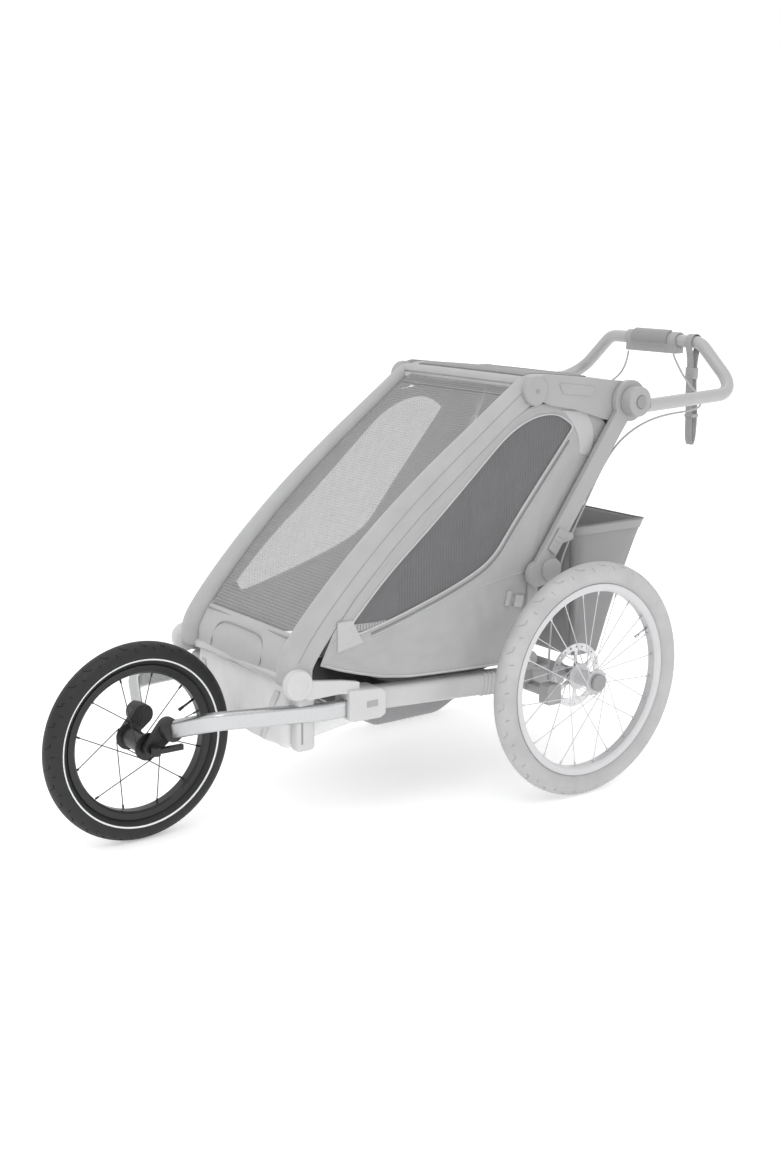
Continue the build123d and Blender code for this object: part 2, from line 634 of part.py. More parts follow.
# Brake lever: a curved paddle in front of the grip that turns about the bar's own axis
LEVER_IN_R, LEVER_OUT_R, LEVER_HALF = HOUSING_R + 0.6, HOUSING_R + 4.6, 55.0
with BuildPart() as brake_lever:
    with BuildSketch(Plane.XZ.offset(-LEVER_HALF)):
        with BuildLine():
            mid_r = (LEVER_IN_R + LEVER_OUT_R) / 2
            CenterArc(grip, mid_r, 100, 95)
            offset(amount=(LEVER_OUT_R - LEVER_IN_R) / 2)
        make_face()
    extrude(amount=2 * LEVER_HALF)
save(brake_lever.part, "brake_lever")

# Wrist strap: a flat webbing loop over the bar that hangs down
STRAP_LINE, STRAP_WIDTH, STRAP_THICK = -118.0, 20.0, 2.0
STRAP_SLACK = 1.8
STRAP_BACK = 6.0
STRAP_LOW_Z = 672.0
strap_r = BAR_D / 2 + STRAP_SLACK + STRAP_THICK
strap_in, strap_out = -STRAP_LINE - STRAP_WIDTH / 2, -STRAP_LINE + STRAP_WIDTH / 2


def strap_loop(half, low_z):
    """Side view of the hanging loop, a little wider and further back at its foot."""
    low_x = GRIP_X + STRAP_BACK
    return [at(GRIP_X - half + 2, GRIP_Z), at(low_x - half, low_z), at(low_x + half, low_z), at(GRIP_X + half - 2, GRIP_Z)]


with BuildPart() as wrist_strap:
    add(drum(grip, strap_r, strap_in, strap_out))
    add(plate(strap_loop(8, STRAP_LOW_Z), strap_in, strap_out))
    add(drum(grip, strap_r - STRAP_THICK, strap_in, strap_out), mode=Mode.SUBTRACT)
    add(
        plate(strap_loop(8 - STRAP_THICK, STRAP_LOW_Z + STRAP_THICK), strap_in, strap_out),
        mode=Mode.SUBTRACT,
    )
save(wrist_strap.part, "wrist_strap")

# Brake cables: held from the lever pod down the upright to the caliper
CABLE_D = 4.4
near_pod_left = [(466, -70, 877), (455, -98, 850), (440, -140, 822), (424, -190, 796), (404, -218, 776)]
near_pod_right = [(466, 70, 877), (465, 74, 842), (452, 98, 806), (430, 142, 786), (404, 195, 776)]
along_frame = [
    (352, -226, 771), (290, -227, 769), (236, -227, 761), (186, -225, 743), (142, -220, 712),
    (104, -218.6, 664), (66, -218.6, 600), (31, -218.6, 543), (4, -218.6, 492), (-12, -219, 436),
    (-22, -222, 380), (-34, -230, 326), (-50, -246, 282), (-62, -258, 244),
]
cable_left = near_pod_left + along_frame
cable_right = near_pod_right + [(x, -y, z) for x, y, z in along_frame]


def cable_radii(points):
    """Bend radius at each inner point: as large as its two runs allow."""
    radii = []
    for before, here, after in zip(points, points[1:], points[2:]):
        way_in = Vector(here) - Vector(before)
        way_out = Vector(after) - Vector(here)
        turn = radians(way_in.get_angle(way_out))
        radii.append(0.45 * min(way_in.length, way_out.length) / max(sin(turn / 2) / cos(turn / 2), 1e-6))
    return radii


for side_name, route in (("left", cable_left), ("right", cable_right)):
    cable_points = [(AXLE_X + x, y, z) for x, y, z in route]
    bends = cable_radii(cable_points)
    print(side_name, "cable bend radii", [round(bend) for bend in bends])
    save(pipe(cable_points, bends, CABLE_D), f"brake_cable_{side_name}")

# Caliper: a block astride the rotor's lower front edge
CALIPER_X, CALIPER_Z = -64.0, 218.0
with BuildPart() as brake_caliper:
    add(box(CALIPER_X - 22, CALIPER_X + 14, -rotor_y - 14, -rotor_y + 14, CALIPER_Z - 20, CALIPER_Z + 22))
    fillet(brake_caliper.edges().filter_by(Axis.Y), 5)
    add(drum(at(0, REAR_TYRE_R), ROTOR_R + 2, rotor_y - 1, rotor_y + ROTOR_THICK + 1), mode=Mode.SUBTRACT)
    add(box(CALIPER_X - 18, CALIPER_X + 4, -rotor_y + 13, -RAIL_HALF - 10, CALIPER_Z - 4, CALIPER_Z + 12))
    add(solid_rail.part, mode=Mode.SUBTRACT)
save_pair(brake_caliper.part, "brake_caliper")

# ---------------------------------------------------------------- jogging kit

ARM_TURN_X, ARM_BEND_X, ARM_TIP_X = -592.0, -805.0, -846.0
ARM_BEND_HALF, ARM_TIP_HALF = 164.0, 66.0
ARM_BEND_Z, ARM_TIP_Z = 267.0, 232.0
arm_points = [
    (AXLE_X + ARM_END_X, -ARM_HALF, ARM_Z), (AXLE_X + ARM_TURN_X, -ARM_HALF, ARM_Z),
    (AXLE_X + ARM_BEND_X, -ARM_BEND_HALF, ARM_BEND_Z), (AXLE_X + ARM_TIP_X, -ARM_TIP_HALF, ARM_TIP_Z),
]
with BuildPart() as jog_arm:
    with BuildLine() as arm_route:
        FilletPolyline(*arm_points, radius=[60, 45])
    with BuildSketch(Plane(origin=arm_route.line @ 0, x_dir=(0, 1, 0), z_dir=(-1, 0, 0))):
        RectangleRounded(ARM_WIDTH, ARM_HEIGHT, 6)
        offset(amount=-2.2, mode=Mode.SUBTRACT)
    sweep()
save_pair(jog_arm.part, "jog_arm")

with BuildPart() as solid_arm:
    with BuildLine() as arm_route:
        FilletPolyline(*arm_points, radius=[60, 45])
    with BuildSketch(Plane(origin=arm_route.line @ 0, x_dir=(0, 1, 0), z_dir=(-1, 0, 0))):
        RectangleRounded(ARM_WIDTH, ARM_HEIGHT, 6)
    sweep()

jog_axle_at = at(-JOG_REACH, JOG_TYRE_R)
arm_tip = at(ARM_TIP_X, ARM_TIP_Z)
FORK_OUT = FORK_HALF + FORK_THICK
with BuildPart() as dropout:
    add(link(jog_axle_at, 15, arm_tip, 21, FORK_HALF, FORK_OUT))
    add(drum(arm_tip, 21, FORK_OUT, ARM_TIP_HALF + 14))
    add(solid_arm.part, mode=Mode.SUBTRACT)
    add(drum(jog_axle_at, JOG_AXLE_R, FORK_HALF - 1, FORK_OUT + 1), mode=Mode.SUBTRACT)
with BuildPart() as jog_dropouts:
    add(dropout.part)
    mirror(dropout.part, about=Plane.XZ)
save(jog_dropouts.part, "jog_dropouts")

LEVER_LINE = FORK_OUT + 8
with BuildPart() as jog_axle:
    add(drum(jog_axle_at, JOG_AXLE_R, -FORK_OUT - 8, LEVER_LINE - 4))
    add(drum(jog_axle_at, 11, -FORK_OUT - 9, -FORK_OUT))
    add(drum(jog_axle_at, 10, FORK_OUT, LEVER_LINE - 4))
save(jog_axle.part, "jog_axle")

HANDLE_LENGTH = 56.0
# Quick-release lever: a cam on an upright axis, with its handle lying back along the wheel
with BuildPart() as quick_release_lever:
    with BuildSketch(Plane.XY.offset(JOG_TYRE_R - 8)):
        with Locations((AXLE_X - JOG_REACH, -LEVER_LINE - 6)):
            Circle(9)
    extrude(amount=16)
    with BuildSketch(Plane.XY.offset(JOG_TYRE_R - 5)):
        with BuildLine():
            FilletPolyline(
                (AXLE_X - JOG_REACH, -LEVER_LINE - 1), (AXLE_X - JOG_REACH + HANDLE_LENGTH, -LEVER_LINE - 4),
                (AXLE_X - JOG_REACH + HANDLE_LENGTH, -LEVER_LINE - 14), (AXLE_X - JOG_REACH, -LEVER_LINE - 12),
                radius=2, close=True,
            )
        make_face()
    extrude(amount=10)
save(quick_release_lever.part, "quick_release_lever")

# ---------------------------------------------------------------- soft parts

panel_outline = [
    at(-604, 352), at(-548, 330), at(-534, 322), at(-434, 298), at(-120, 277), at(-60, 300), at(-66, 480),
    at(125, 752), at(120, 766), at(103, 776), at(25, 800), at(-44, 814), at(-80, 824), at(-398, 588), at(-566, 428),
]
with BuildPart() as side_panel:
    add(plate(panel_outline, PANEL_IN, PANEL_OUT))
save_pair(side_panel.part, "side_panel")

# Sling seat with its backrest in one piece
SEAT_HALF = 178.0
SEAT_THICK = 18.0
seat_line = [at(-356, 250), at(-336, 286), at(-156, 272), at(6, 650)]
with BuildPart() as seat_sling:
    with BuildSketch(Plane.XZ.offset(-SEAT_HALF)):
        with BuildLine():
            FilletPolyline(*seat_line, radius=[12, 30])
            offset(amount=SEAT_THICK, side=Side.RIGHT)
        make_face()
    extrude(amount=2 * SEAT_HALF)
save(seat_sling.part, "seat_sling")

# Harness: two shoulder straps, two waist straps and the crotch strap with its buckle
back_turn = atan2(650 - 272, 6 + 156)


def on_back(distance, lift):
    """Point in front of the backrest: a distance up it from the seat, and a lift off it."""
    x = -156 + distance * cos(back_turn) - lift * sin(back_turn)
    return at(x, 272 + distance * sin(back_turn) + lift * cos(back_turn))


WEBBING = 25.0
shoulder_line = [on_back(330, 2), on_back(330, 4.5), on_back(120, 6.5), on_back(120, 4)]
with BuildPart() as seat_harness:
    for side in (-1, 1):
        add(plate(shoulder_line, side * 55 - WEBBING / 2, side * 55 + WEBBING / 2))
        add(plate([on_back(96, 4), on_back(96, 6.5), on_back(120, 6.5), on_back(120, 4)],
                  min(side * 150, side * 20), max(side * 150, side * 20)))
    add(plate([on_back(80, 3), on_back(80, 16), on_back(136, 16), on_back(136, 3)], -24, 24))
    add(plate([at(-156 - 70, 280), at(-156 - 70, 283), on_back(90, 12), on_back(90, 8)], -14, 14))
save(seat_harness.part, "seat_harness")

# Cargo bag: open-topped, narrower at its foot, behind the seat
BAG_TOP_Z, BAG_LOW_Z = 531.0, 232.0
with BuildPart() as cargo_bag:
    for inset, mode in ((0.0, Mode.ADD), (LINING, Mode.SUBTRACT)):
        with BuildSketch(Plane.XY.offset(BAG_LOW_Z + inset)):
            with BuildLine():
                Polyline(
                    (AXLE_X + 120 + inset, -138 + inset), (AXLE_X + 206 - inset, -138 + inset),
                    (AXLE_X + 206 - inset, 138 - inset), (AXLE_X + 120 + inset, 138 - inset), close=True,
                )
            make_face()
        with BuildSketch(Plane.XY.offset(BAG_TOP_Z + inset)):
            with BuildLine():
                Polyline(
                    (AXLE_X + 96 + inset, -150 + inset), (AXLE_X + 330 - inset, -150 + inset),
                    (AXLE_X + 330 - inset, 150 - inset), (AXLE_X + 96 + inset, 150 - inset), close=True,
                )
            make_face()
        loft(mode=mode)
save(cargo_bag.part, "cargo_bag")
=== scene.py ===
"""Looks of a single-seat child trailer: fabric, screens, tyres, straps, cables and finishes."""

import json
from math import atan2, cos, exp, pi, radians, sin, tau

import bmesh
import bpy
from mathutils import Matrix, Vector, noise


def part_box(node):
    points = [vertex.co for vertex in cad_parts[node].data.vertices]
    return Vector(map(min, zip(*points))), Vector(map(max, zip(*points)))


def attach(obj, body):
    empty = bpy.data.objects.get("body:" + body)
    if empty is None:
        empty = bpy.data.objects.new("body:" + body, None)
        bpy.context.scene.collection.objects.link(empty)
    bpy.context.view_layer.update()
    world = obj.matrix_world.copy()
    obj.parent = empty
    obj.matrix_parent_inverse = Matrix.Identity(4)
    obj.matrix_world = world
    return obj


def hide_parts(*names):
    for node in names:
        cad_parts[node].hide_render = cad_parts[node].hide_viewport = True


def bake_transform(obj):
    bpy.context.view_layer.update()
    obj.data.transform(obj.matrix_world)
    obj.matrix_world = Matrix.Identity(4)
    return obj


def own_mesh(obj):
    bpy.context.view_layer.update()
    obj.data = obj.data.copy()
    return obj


bl_info = {
    "name": "Child Trailer Looks",
    "version": (1, 0, 0),
    "blender": (4, 5, 0),
    "location": "View3D > Sidebar > Trailer",
    "description": "Fabric, tyres, straps, cables and finishes of a folding child trailer",
    "category": "Object",
}

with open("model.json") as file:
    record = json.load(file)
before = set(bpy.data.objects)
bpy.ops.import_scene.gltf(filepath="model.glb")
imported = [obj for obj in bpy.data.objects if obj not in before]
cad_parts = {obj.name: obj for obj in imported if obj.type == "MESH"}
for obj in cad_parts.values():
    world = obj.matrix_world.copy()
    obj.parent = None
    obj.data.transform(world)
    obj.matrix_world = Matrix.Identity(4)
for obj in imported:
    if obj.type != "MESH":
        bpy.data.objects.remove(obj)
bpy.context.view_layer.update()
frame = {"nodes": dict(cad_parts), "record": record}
NODES = frame["nodes"]
SIDES = (("left", -1), ("right", 1))


def middle(node):
    """Centre of a CAD node's box."""
    low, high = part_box(node)
    return (low + high) / 2


AXLE = middle("tyre_left")
JOG_CENTRE = middle("jog_tyre")
REAR_R = (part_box("tyre_left")[1].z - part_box("tyre_left")[0].z) / 2
JOG_R = (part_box("jog_tyre")[1].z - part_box("jog_tyre")[0].z) / 2


def at(x, y, z):
    """Point in metres, from millimetres behind the rear axle, to the right of the middle and up."""
    return Vector((AXLE.x + x / 1000, y / 1000, z / 1000))


# ---------------------------------------------------------------- settings


def colour(name, description, default):
    """Colour that the user may change."""
    return bpy.props.FloatVectorProperty(
        name=name, description=description, subtype="COLOR", size=3, min=0, max=1, default=default,
    )


class FabricSettings(bpy.types.PropertyGroup):
    """Colours and shapes of the soft goods."""

    sleeve: colour("Sleeve", "Colour of the padded sleeves and the roof", (0.41, 0.41, 0.415))
    panel: colour("Side panel", "Colour of the side panels", (0.39, 0.39, 0.395))
    screen: colour("Screen", "Colour of the front screen's yarn", (0.42, 0.42, 0.425))
    window: colour("Window", "Colour of the side windows' yarn", (0.145, 0.145, 0.15))
    belly: colour("Floor", "Colour of the floor tub", (0.235, 0.235, 0.24))
    bag: colour("Bag", "Colour of the cargo bag", (0.30, 0.30, 0.305))
    cloth_thickness: bpy.props.FloatProperty(
        name="Cloth", description="Thickness of the coated cloth", subtype="DISTANCE",
        unit="LENGTH", min=0.0005, max=0.004, default=0.0014,
    )


class WheelSettings(bpy.types.PropertyGroup):
    """Colours and tread of the wheels."""

    rear_rubber: colour("Rear tyres", "Colour of the rear tyres", (0.455, 0.455, 0.46))
    jog_rubber: colour("Jogging tyre", "Colour of the jogging tyre", (0.010, 0.010, 0.011))
    groove_depth: bpy.props.FloatProperty(
        name="Groove depth", description="Depth of the tread grooves", subtype="DISTANCE",
        unit="LENGTH", min=0.0, max=0.003, default=0.0013,
    )
    stripe_radius: bpy.props.FloatProperty(
        name="Stripe radius", description="Radius of the reflective line on the jogging tyre",
        subtype="DISTANCE", unit="LENGTH", min=0.155, max=0.18, default=0.166,
    )


class HardwareSettings(bpy.types.PropertyGroup):
    """Colours and edges of the hard parts."""

    frame_grey: colour("Frame", "Colour of the coated frame and its mouldings", (0.52, 0.52, 0.525))
    pale: colour("Pale mouldings", "Colour of the front corners and the foot box", (0.74, 0.74, 0.745))
    edge: bpy.props.FloatProperty(
        name="Edge", description="Rounding of moulded edges", subtype="DISTANCE",
        unit="LENGTH", min=0.0005, max=0.004, default=0.0018,
    )


# ---------------------------------------------------------------- materials


class Finish:
    """A node material that grows from a Principled shader."""

    def __init__(self, name, color, roughness, metallic=0.0, coat=0.0, sheen=0.0, coords="Object"):
        self.material = bpy.data.materials.new(name)
        self.material.use_nodes = True
        tree = self.material.node_tree
        self.nodes, self.links = tree.nodes, tree.links
        self.shader = self.nodes["Principled BSDF"]
        self.color = (*color, 1)
        self.shader.inputs["Base Color"].default_value = self.color
        self.shader.inputs["Roughness"].default_value = roughness
        self.shader.inputs["Metallic"].default_value = metallic
        self.shader.inputs["Coat Weight"].default_value = coat
        self.shader.inputs["Sheen Weight"].default_value = sheen
        self.coords = self.nodes.new("ShaderNodeTexCoord").outputs[coords]
        self.height = None

    def node(self, kind, **inputs):
        made = self.nodes.new(kind)
        for name, value in inputs.items():
            made.inputs[name.replace("_", " ")].default_value = value
        return made

    def noise(self, scale, detail=4.0, stretch=(1, 1, 1)):
        mapping = self.node("ShaderNodeMapping", Scale=stretch)
        texture = self.node("ShaderNodeTexNoise", Scale=scale, Detail=detail)
        self.links.new(self.coords, mapping.inputs["Vector"])
        self.links.new(mapping.outputs["Vector"], texture.inputs["Vector"])
        return texture.outputs["Fac"]

    def wave(self, scale, direction):
        texture = self.node("ShaderNodeTexWave", Scale=scale)
        texture.bands_direction = direction
        self.links.new(self.coords, texture.inputs["Vector"])
        return texture.outputs["Fac"]

    def math(self, operation, first, second):
        made = self.nodes.new("ShaderNodeMath")
        made.operation = operation
        for socket, value in zip(made.inputs, (first, second)):
            if isinstance(value, (int, float)):
                socket.default_value = value
            else:
                self.links.new(value, socket)
        return made.outputs[0]

    def vary(self, factor, spread):
        """Lets the colour drift between a darker and a lighter tone."""
        ramp = self.nodes.new("ShaderNodeValToRGB")
        ramp.color_ramp.elements[0].position = 0.3
        ramp.color_ramp.elements[1].position = 0.7
        tones = [[min(1, part * share) for part in self.color[:3]] for share in (1 - spread, 1 + spread)]
        for element, tone in zip(ramp.color_ramp.elements, tones):
            element.color = (*tone, 1)
        self.links.new(factor, ramp.inputs["Fac"])
        self.links.new(ramp.outputs["Color"], self.shader.inputs["Base Color"])

    def rough(self, factor, low, high):
        spread = self.node("ShaderNodeMapRange", To_Min=low, To_Max=high)
        self.links.new(factor, spread.inputs["Value"])
        self.links.new(spread.outputs["Result"], self.shader.inputs["Roughness"])

    def bump(self, height, strength, distance):
        made = self.node("ShaderNodeBump", Strength=strength, Distance=distance)
        self.links.new(height, made.inputs["Height"])
        if self.height is not None:
            self.links.new(self.height, made.inputs["Normal"])
        self.height = made.outputs["Normal"]
        self.links.new(self.height, self.shader.inputs["Normal"])


def moulded(name, color, roughness=0.48):
    """Satin moulded plastic with a fine grain."""
    made = Finish(name, color, roughness)
    made.vary(made.noise(9, 3), 0.035)
    made.rough(made.noise(60, 3), roughness - 0.06, roughness + 0.08)
    made.bump(made.noise(1700, 2), 0.16, 0.0003)
    return made.material


def coated_metal(name, color, roughness=0.34):
    """Powder-coated tube with a light orange peel."""
    made = Finish(name, color, roughness, metallic=0.15, coat=0.12)
    made.vary(made.noise(14, 3), 0.03)
    made.rough(made.noise(45, 4), roughness - 0.05, roughness + 0.1)
    made.bump(made.noise(900, 2), 0.10, 0.0003)
    return made.material


def brushed(name, color, roughness=0.24, stretch=(1, 60, 60)):
    """Bare metal, brushed along its length."""
    made = Finish(name, color, roughness, metallic=1.0)
    grain = made.noise(30, 6, stretch)
    made.vary(grain, 0.06)
    made.rough(grain, roughness - 0.06, roughness + 0.12)
    made.bump(grain, 0.07, 0.0002)
    return made.material


def woven(name, color, roughness=0.82, yarn=0.0011):
    """Coated cloth: a plain weave with soft crumples."""
    made = Finish(name, color, roughness, sheen=0.25, coords="UV")
    bands = 1 / yarn * 0.157
    weave = made.math("MULTIPLY", made.wave(bands, "X"), made.wave(bands, "Y"))
    made.vary(made.noise(16, 5), 0.05)
    made.rough(made.noise(80, 3), roughness - 0.05, roughness + 0.06)
    made.bump(made.noise(26, 4), 0.22, 0.004)
    made.bump(weave, 0.5, 0.0004)
    return made.material


def mesh_cloth(name, color, cover, hole=0.0034):
    """Open mesh: yarn that hides only a share of what is behind it."""
    made = Finish(name, color, 0.7, sheen=0.2, coords="UV")
    bands = 1 / hole * 0.157
    yarn = made.math("MAXIMUM", made.wave(bands, "X"), made.wave(bands, "Y"))
    swing = made.math("MULTIPLY", made.math("SUBTRACT", yarn, 0.6), 0.35)
    made.links.new(made.math("ADD", swing, cover), made.shader.inputs["Alpha"])
    made.vary(made.noise(20, 3), 0.04)
    made.bump(yarn, 0.4, 0.0005)
    return made.material


def webbing(name, color):
    """Flat woven tape with cross ribs."""
    made = Finish(name, color, 0.75, sheen=0.3)
    made.vary(made.noise(60, 3), 0.06)
    ribs = made.math("MULTIPLY", made.wave(130, "Z"), made.wave(160, "X"))
    made.bump(ribs, 0.6, 0.0005)
    return made.material


def rubber(name, color, roughness=0.72):
    """Moulded rubber with a dusty, uneven gloss."""
    made = Finish(name, color, roughness)
    made.vary(made.noise(22, 4), 0.07)
    made.rough(made.noise(50, 4), roughness - 0.12, roughness + 0.08)
    made.bump(made.noise(1100, 3), 0.22, 0.0003)
    return made.material


def reflective(name):
    """Pale reflective tape with fine beads."""
    made = Finish(name, (0.86, 0.87, 0.88), 0.35, metallic=0.2)
    beads = made.noise(2400, 2)
    made.vary(beads, 0.06)
    made.bump(beads, 0.3, 0.0002)
    return made.material


# ---------------------------------------------------------------- mesh helpers


def place_mesh(bm, name, material, smooth=True):
    """Turns a bmesh into a linked object with one material."""
    bmesh.ops.recalc_face_normals(bm, faces=bm.faces)
    mesh = bpy.data.meshes.new(name)
    bm.to_mesh(mesh)
    bm.free()
    made = bpy.data.objects.new(name, mesh)
    bpy.context.scene.collection.objects.link(made)
    mesh.materials.append(material)
    for polygon in mesh.polygons:
        polygon.use_smooth = smooth
    return made


def skin(name, place, across, along, width, length, material, wall=0.0, closed=False):
    """Sheet of cloth: a grid whose points place(u, v) puts in space, with its own UV map in metres."""
    bm = bmesh.new()
    uv_map = bm.loops.layers.uv.new("cut")
    bmesh.ops.create_grid(bm, x_segments=across, y_segments=along, size=0.5)
    for face in bm.faces:
        for loop in face.loops:
            loop[uv_map].uv = ((loop.vert.co.x + 0.5) * width, (loop.vert.co.y + 0.5) * length)
    for vert in bm.verts:
        vert.co = place(vert.co.x + 0.5, vert.co.y + 0.5)
    if closed:
        bmesh.ops.remove_doubles(bm, verts=bm.verts, dist=0.0002)
    made = place_mesh(bm, name, material)
    if wall:
        solid = made.modifiers.new("wall", "SOLIDIFY")
        solid.thickness = wall
        solid.offset = 0
    return made


def eased(points, rounds=4):
    """Polyline with its corners cut round, keeping both ends."""
    for _ in range(rounds):
        cut = [points[0]]
        for first, second in zip(points, points[1:]):
            cut += [first.lerp(second, 0.25), first.lerp(second, 0.75)]
        points = cut + [points[-1]]
    return points


class Route:
    """Smooth line through space that is read by its share of length."""

    def __init__(self, points, rounds=4):
        self.points = eased([Vector(point) for point in points], rounds)
        self.marks = [0.0]
        for first, second in zip(self.points, self.points[1:]):
            self.marks.append(self.marks[-1] + (second - first).length)
        self.length = self.marks[-1]

    def at(self, share):
        goal = min(max(share, 0.0), 1.0) * self.length
        for index, mark in enumerate(self.marks[1:], 1):
            if goal <= mark + 1e-12:
                start = self.marks[index - 1]
                span = max(mark - start, 1e-12)
                return self.points[index - 1].lerp(self.points[index], (goal - start) / span)
        return self.points[-1].copy()

    def way(self, share):
        step = 0.004
        return (self.at(share + step) - self.at(share - step)).normalized()


def height_at(route, x):
    """Height of a side-view line at a place along it."""
    points = route.points
    if x <= points[0].x:
        return points[0].z
    for first, second in zip(points, points[1:]):
        if x <= second.x:
            span = max(second.x - first.x, 1e-9)
            return first.z + (second.z - first.z) * (x - first.x) / span
    return points[-1].z


def bump_at(value, centre, spread):
    """Smooth hill of height 1."""
    return exp(-(((value - centre) / spread) ** 2))


def smooth_curve(name, points, detail, closed=False, radius=0.0, sides=4):
    """Mesh of the smooth curve that control points give: a line, or a tube where it has a radius."""
    curve = bpy.data.curves.new(name, "CURVE")
    curve.dimensions = "3D"
    if radius:
        curve.bevel_depth = radius
        curve.bevel_resolution = sides // 2 - 2
        curve.use_fill_caps = not closed
    spline = curve.splines.new("NURBS")
    spline.points.add(len(points) - 1)
    for control, point in zip(spline.points, points):
        control.co = (*point, 1)
    spline.order_u = 3
    spline.use_endpoint_u = not closed
    spline.use_cyclic_u = closed
    spline.resolution_u = detail
    holder = bpy.data.objects.new(name, curve)
    mesh = bpy.data.meshes.new_from_object(holder)
    bpy.data.objects.remove(holder)
    bpy.data.curves.remove(curve)
    return mesh


def tube(name, points, radius, material, sides=10, closed=False):
    """Piping, rod or cable: a mesh tube along a smooth line."""
    mesh = smooth_curve(name, points, 6, closed, radius, sides)
    mesh.materials.clear()
    mesh.materials.append(material)
    for polygon in mesh.polygons:
        polygon.use_smooth = True
    made = bpy.data.objects.new(name, mesh)
    bpy.context.scene.collection.objects.link(made)
    return made


def centre_line(points):
    """The smooth line that a tube's control points give."""
    mesh = smooth_curve("line", points, 12)
    line = [vert.co.copy() for vert in mesh.vertices]
    bpy.data.meshes.remove(mesh)
    return line


def round_edges(bm, edges, width, segments=3):
    bmesh.ops.bevel(
        bm, geom=edges, offset=width, offset_type="OFFSET", segments=segments, profile=0.5,
        affect="EDGES", material=-1, clamp_overlap=True,
    )


def block(name, centre, size, material, edge=0.0015, turn=None):
    """Small moulded piece: a box with rounded edges, turned and put in place."""
    bm = bmesh.new()
    bmesh.ops.create_cube(bm, size=1)
    bmesh.ops.scale(bm, vec=size, verts=bm.verts)
    round_edges(bm, bm.edges[:], edge)
    if turn is not None:
        bmesh.ops.transform(bm, matrix=turn.to_4x4(), verts=bm.verts)
    bmesh.ops.translate(bm, vec=centre, verts=bm.verts)
    return place_mesh(bm, name, material)


def disc(name, centre, radius, depth, material, sides=40, edge=0.001):
    """Round piece on a cross axis, with a rounded rim."""
    bm = bmesh.new()
    bmesh.ops.create_cone(
        bm, cap_ends=True, segments=sides, radius1=radius, radius2=radius, depth=depth
    )
    rims = [item for item in bm.edges if len(item.link_faces) == 2 and item.calc_face_angle() > 1]
    round_edges(bm, rims, edge)
    bmesh.ops.rotate(bm, cent=(0, 0, 0), matrix=Matrix.Rotation(pi / 2, 3, "X"), verts=bm.verts)
    bmesh.ops.translate(bm, vec=centre, verts=bm.verts)
    return place_mesh(bm, name, material)


def softened(node, width, material, sharp=0.7):
    """Copy of a CAD node with its edges rounded, which stands for it."""
    bm = bmesh.new()
    bm.from_mesh(NODES[node].data)
    bmesh.ops.remove_doubles(bm, verts=bm.verts, dist=0.00002)
    bmesh.ops.dissolve_limit(bm, angle_limit=0.01, verts=bm.verts, edges=bm.edges)
    edges = [item for item in bm.edges if len(item.link_faces) == 2 and item.calc_face_angle(0) > sharp]
    round_edges(bm, edges, width)
    made = place_mesh(bm, f"{node}_moulding", material)
    made.data.set_sharp_from_angle(angle=0.6)
    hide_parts(node)
    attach(made, BODY_OF[node])
    return made


BODY_OF = {node: body for body, nodes in frame["record"]["behaviour"]["bodies"].items() for node in nodes}


def paint(material, *nodes):
    """Gives CAD nodes a finish."""
    for node in nodes:
        NODES[node].data.materials.clear()
        NODES[node].data.materials.append(material)


def both(name):
    return f"{name}_left", f"{name}_right"


def fix(piece, body, slot, *nodes):
    """Ties a piece to its body and hides the CAD nodes that it stands for; the slot is not used."""
    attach(piece, body)
    if nodes:
        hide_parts(*nodes)
    return piece


def fold_down(piece):
    """Gives the cloth piece its own copy of its mesh."""
    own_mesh(piece)
    return piece


# ---------------------------------------------------------------- wheels

TYRE_HALF = 0.023
RIM_BELOW_TYRE = 0.0445
REAR_PITCHES = 26
JOG_PITCHES = 30
VALVE_BELOW_TYRE = 0.060
STRIPE_WIDTH = 0.0032


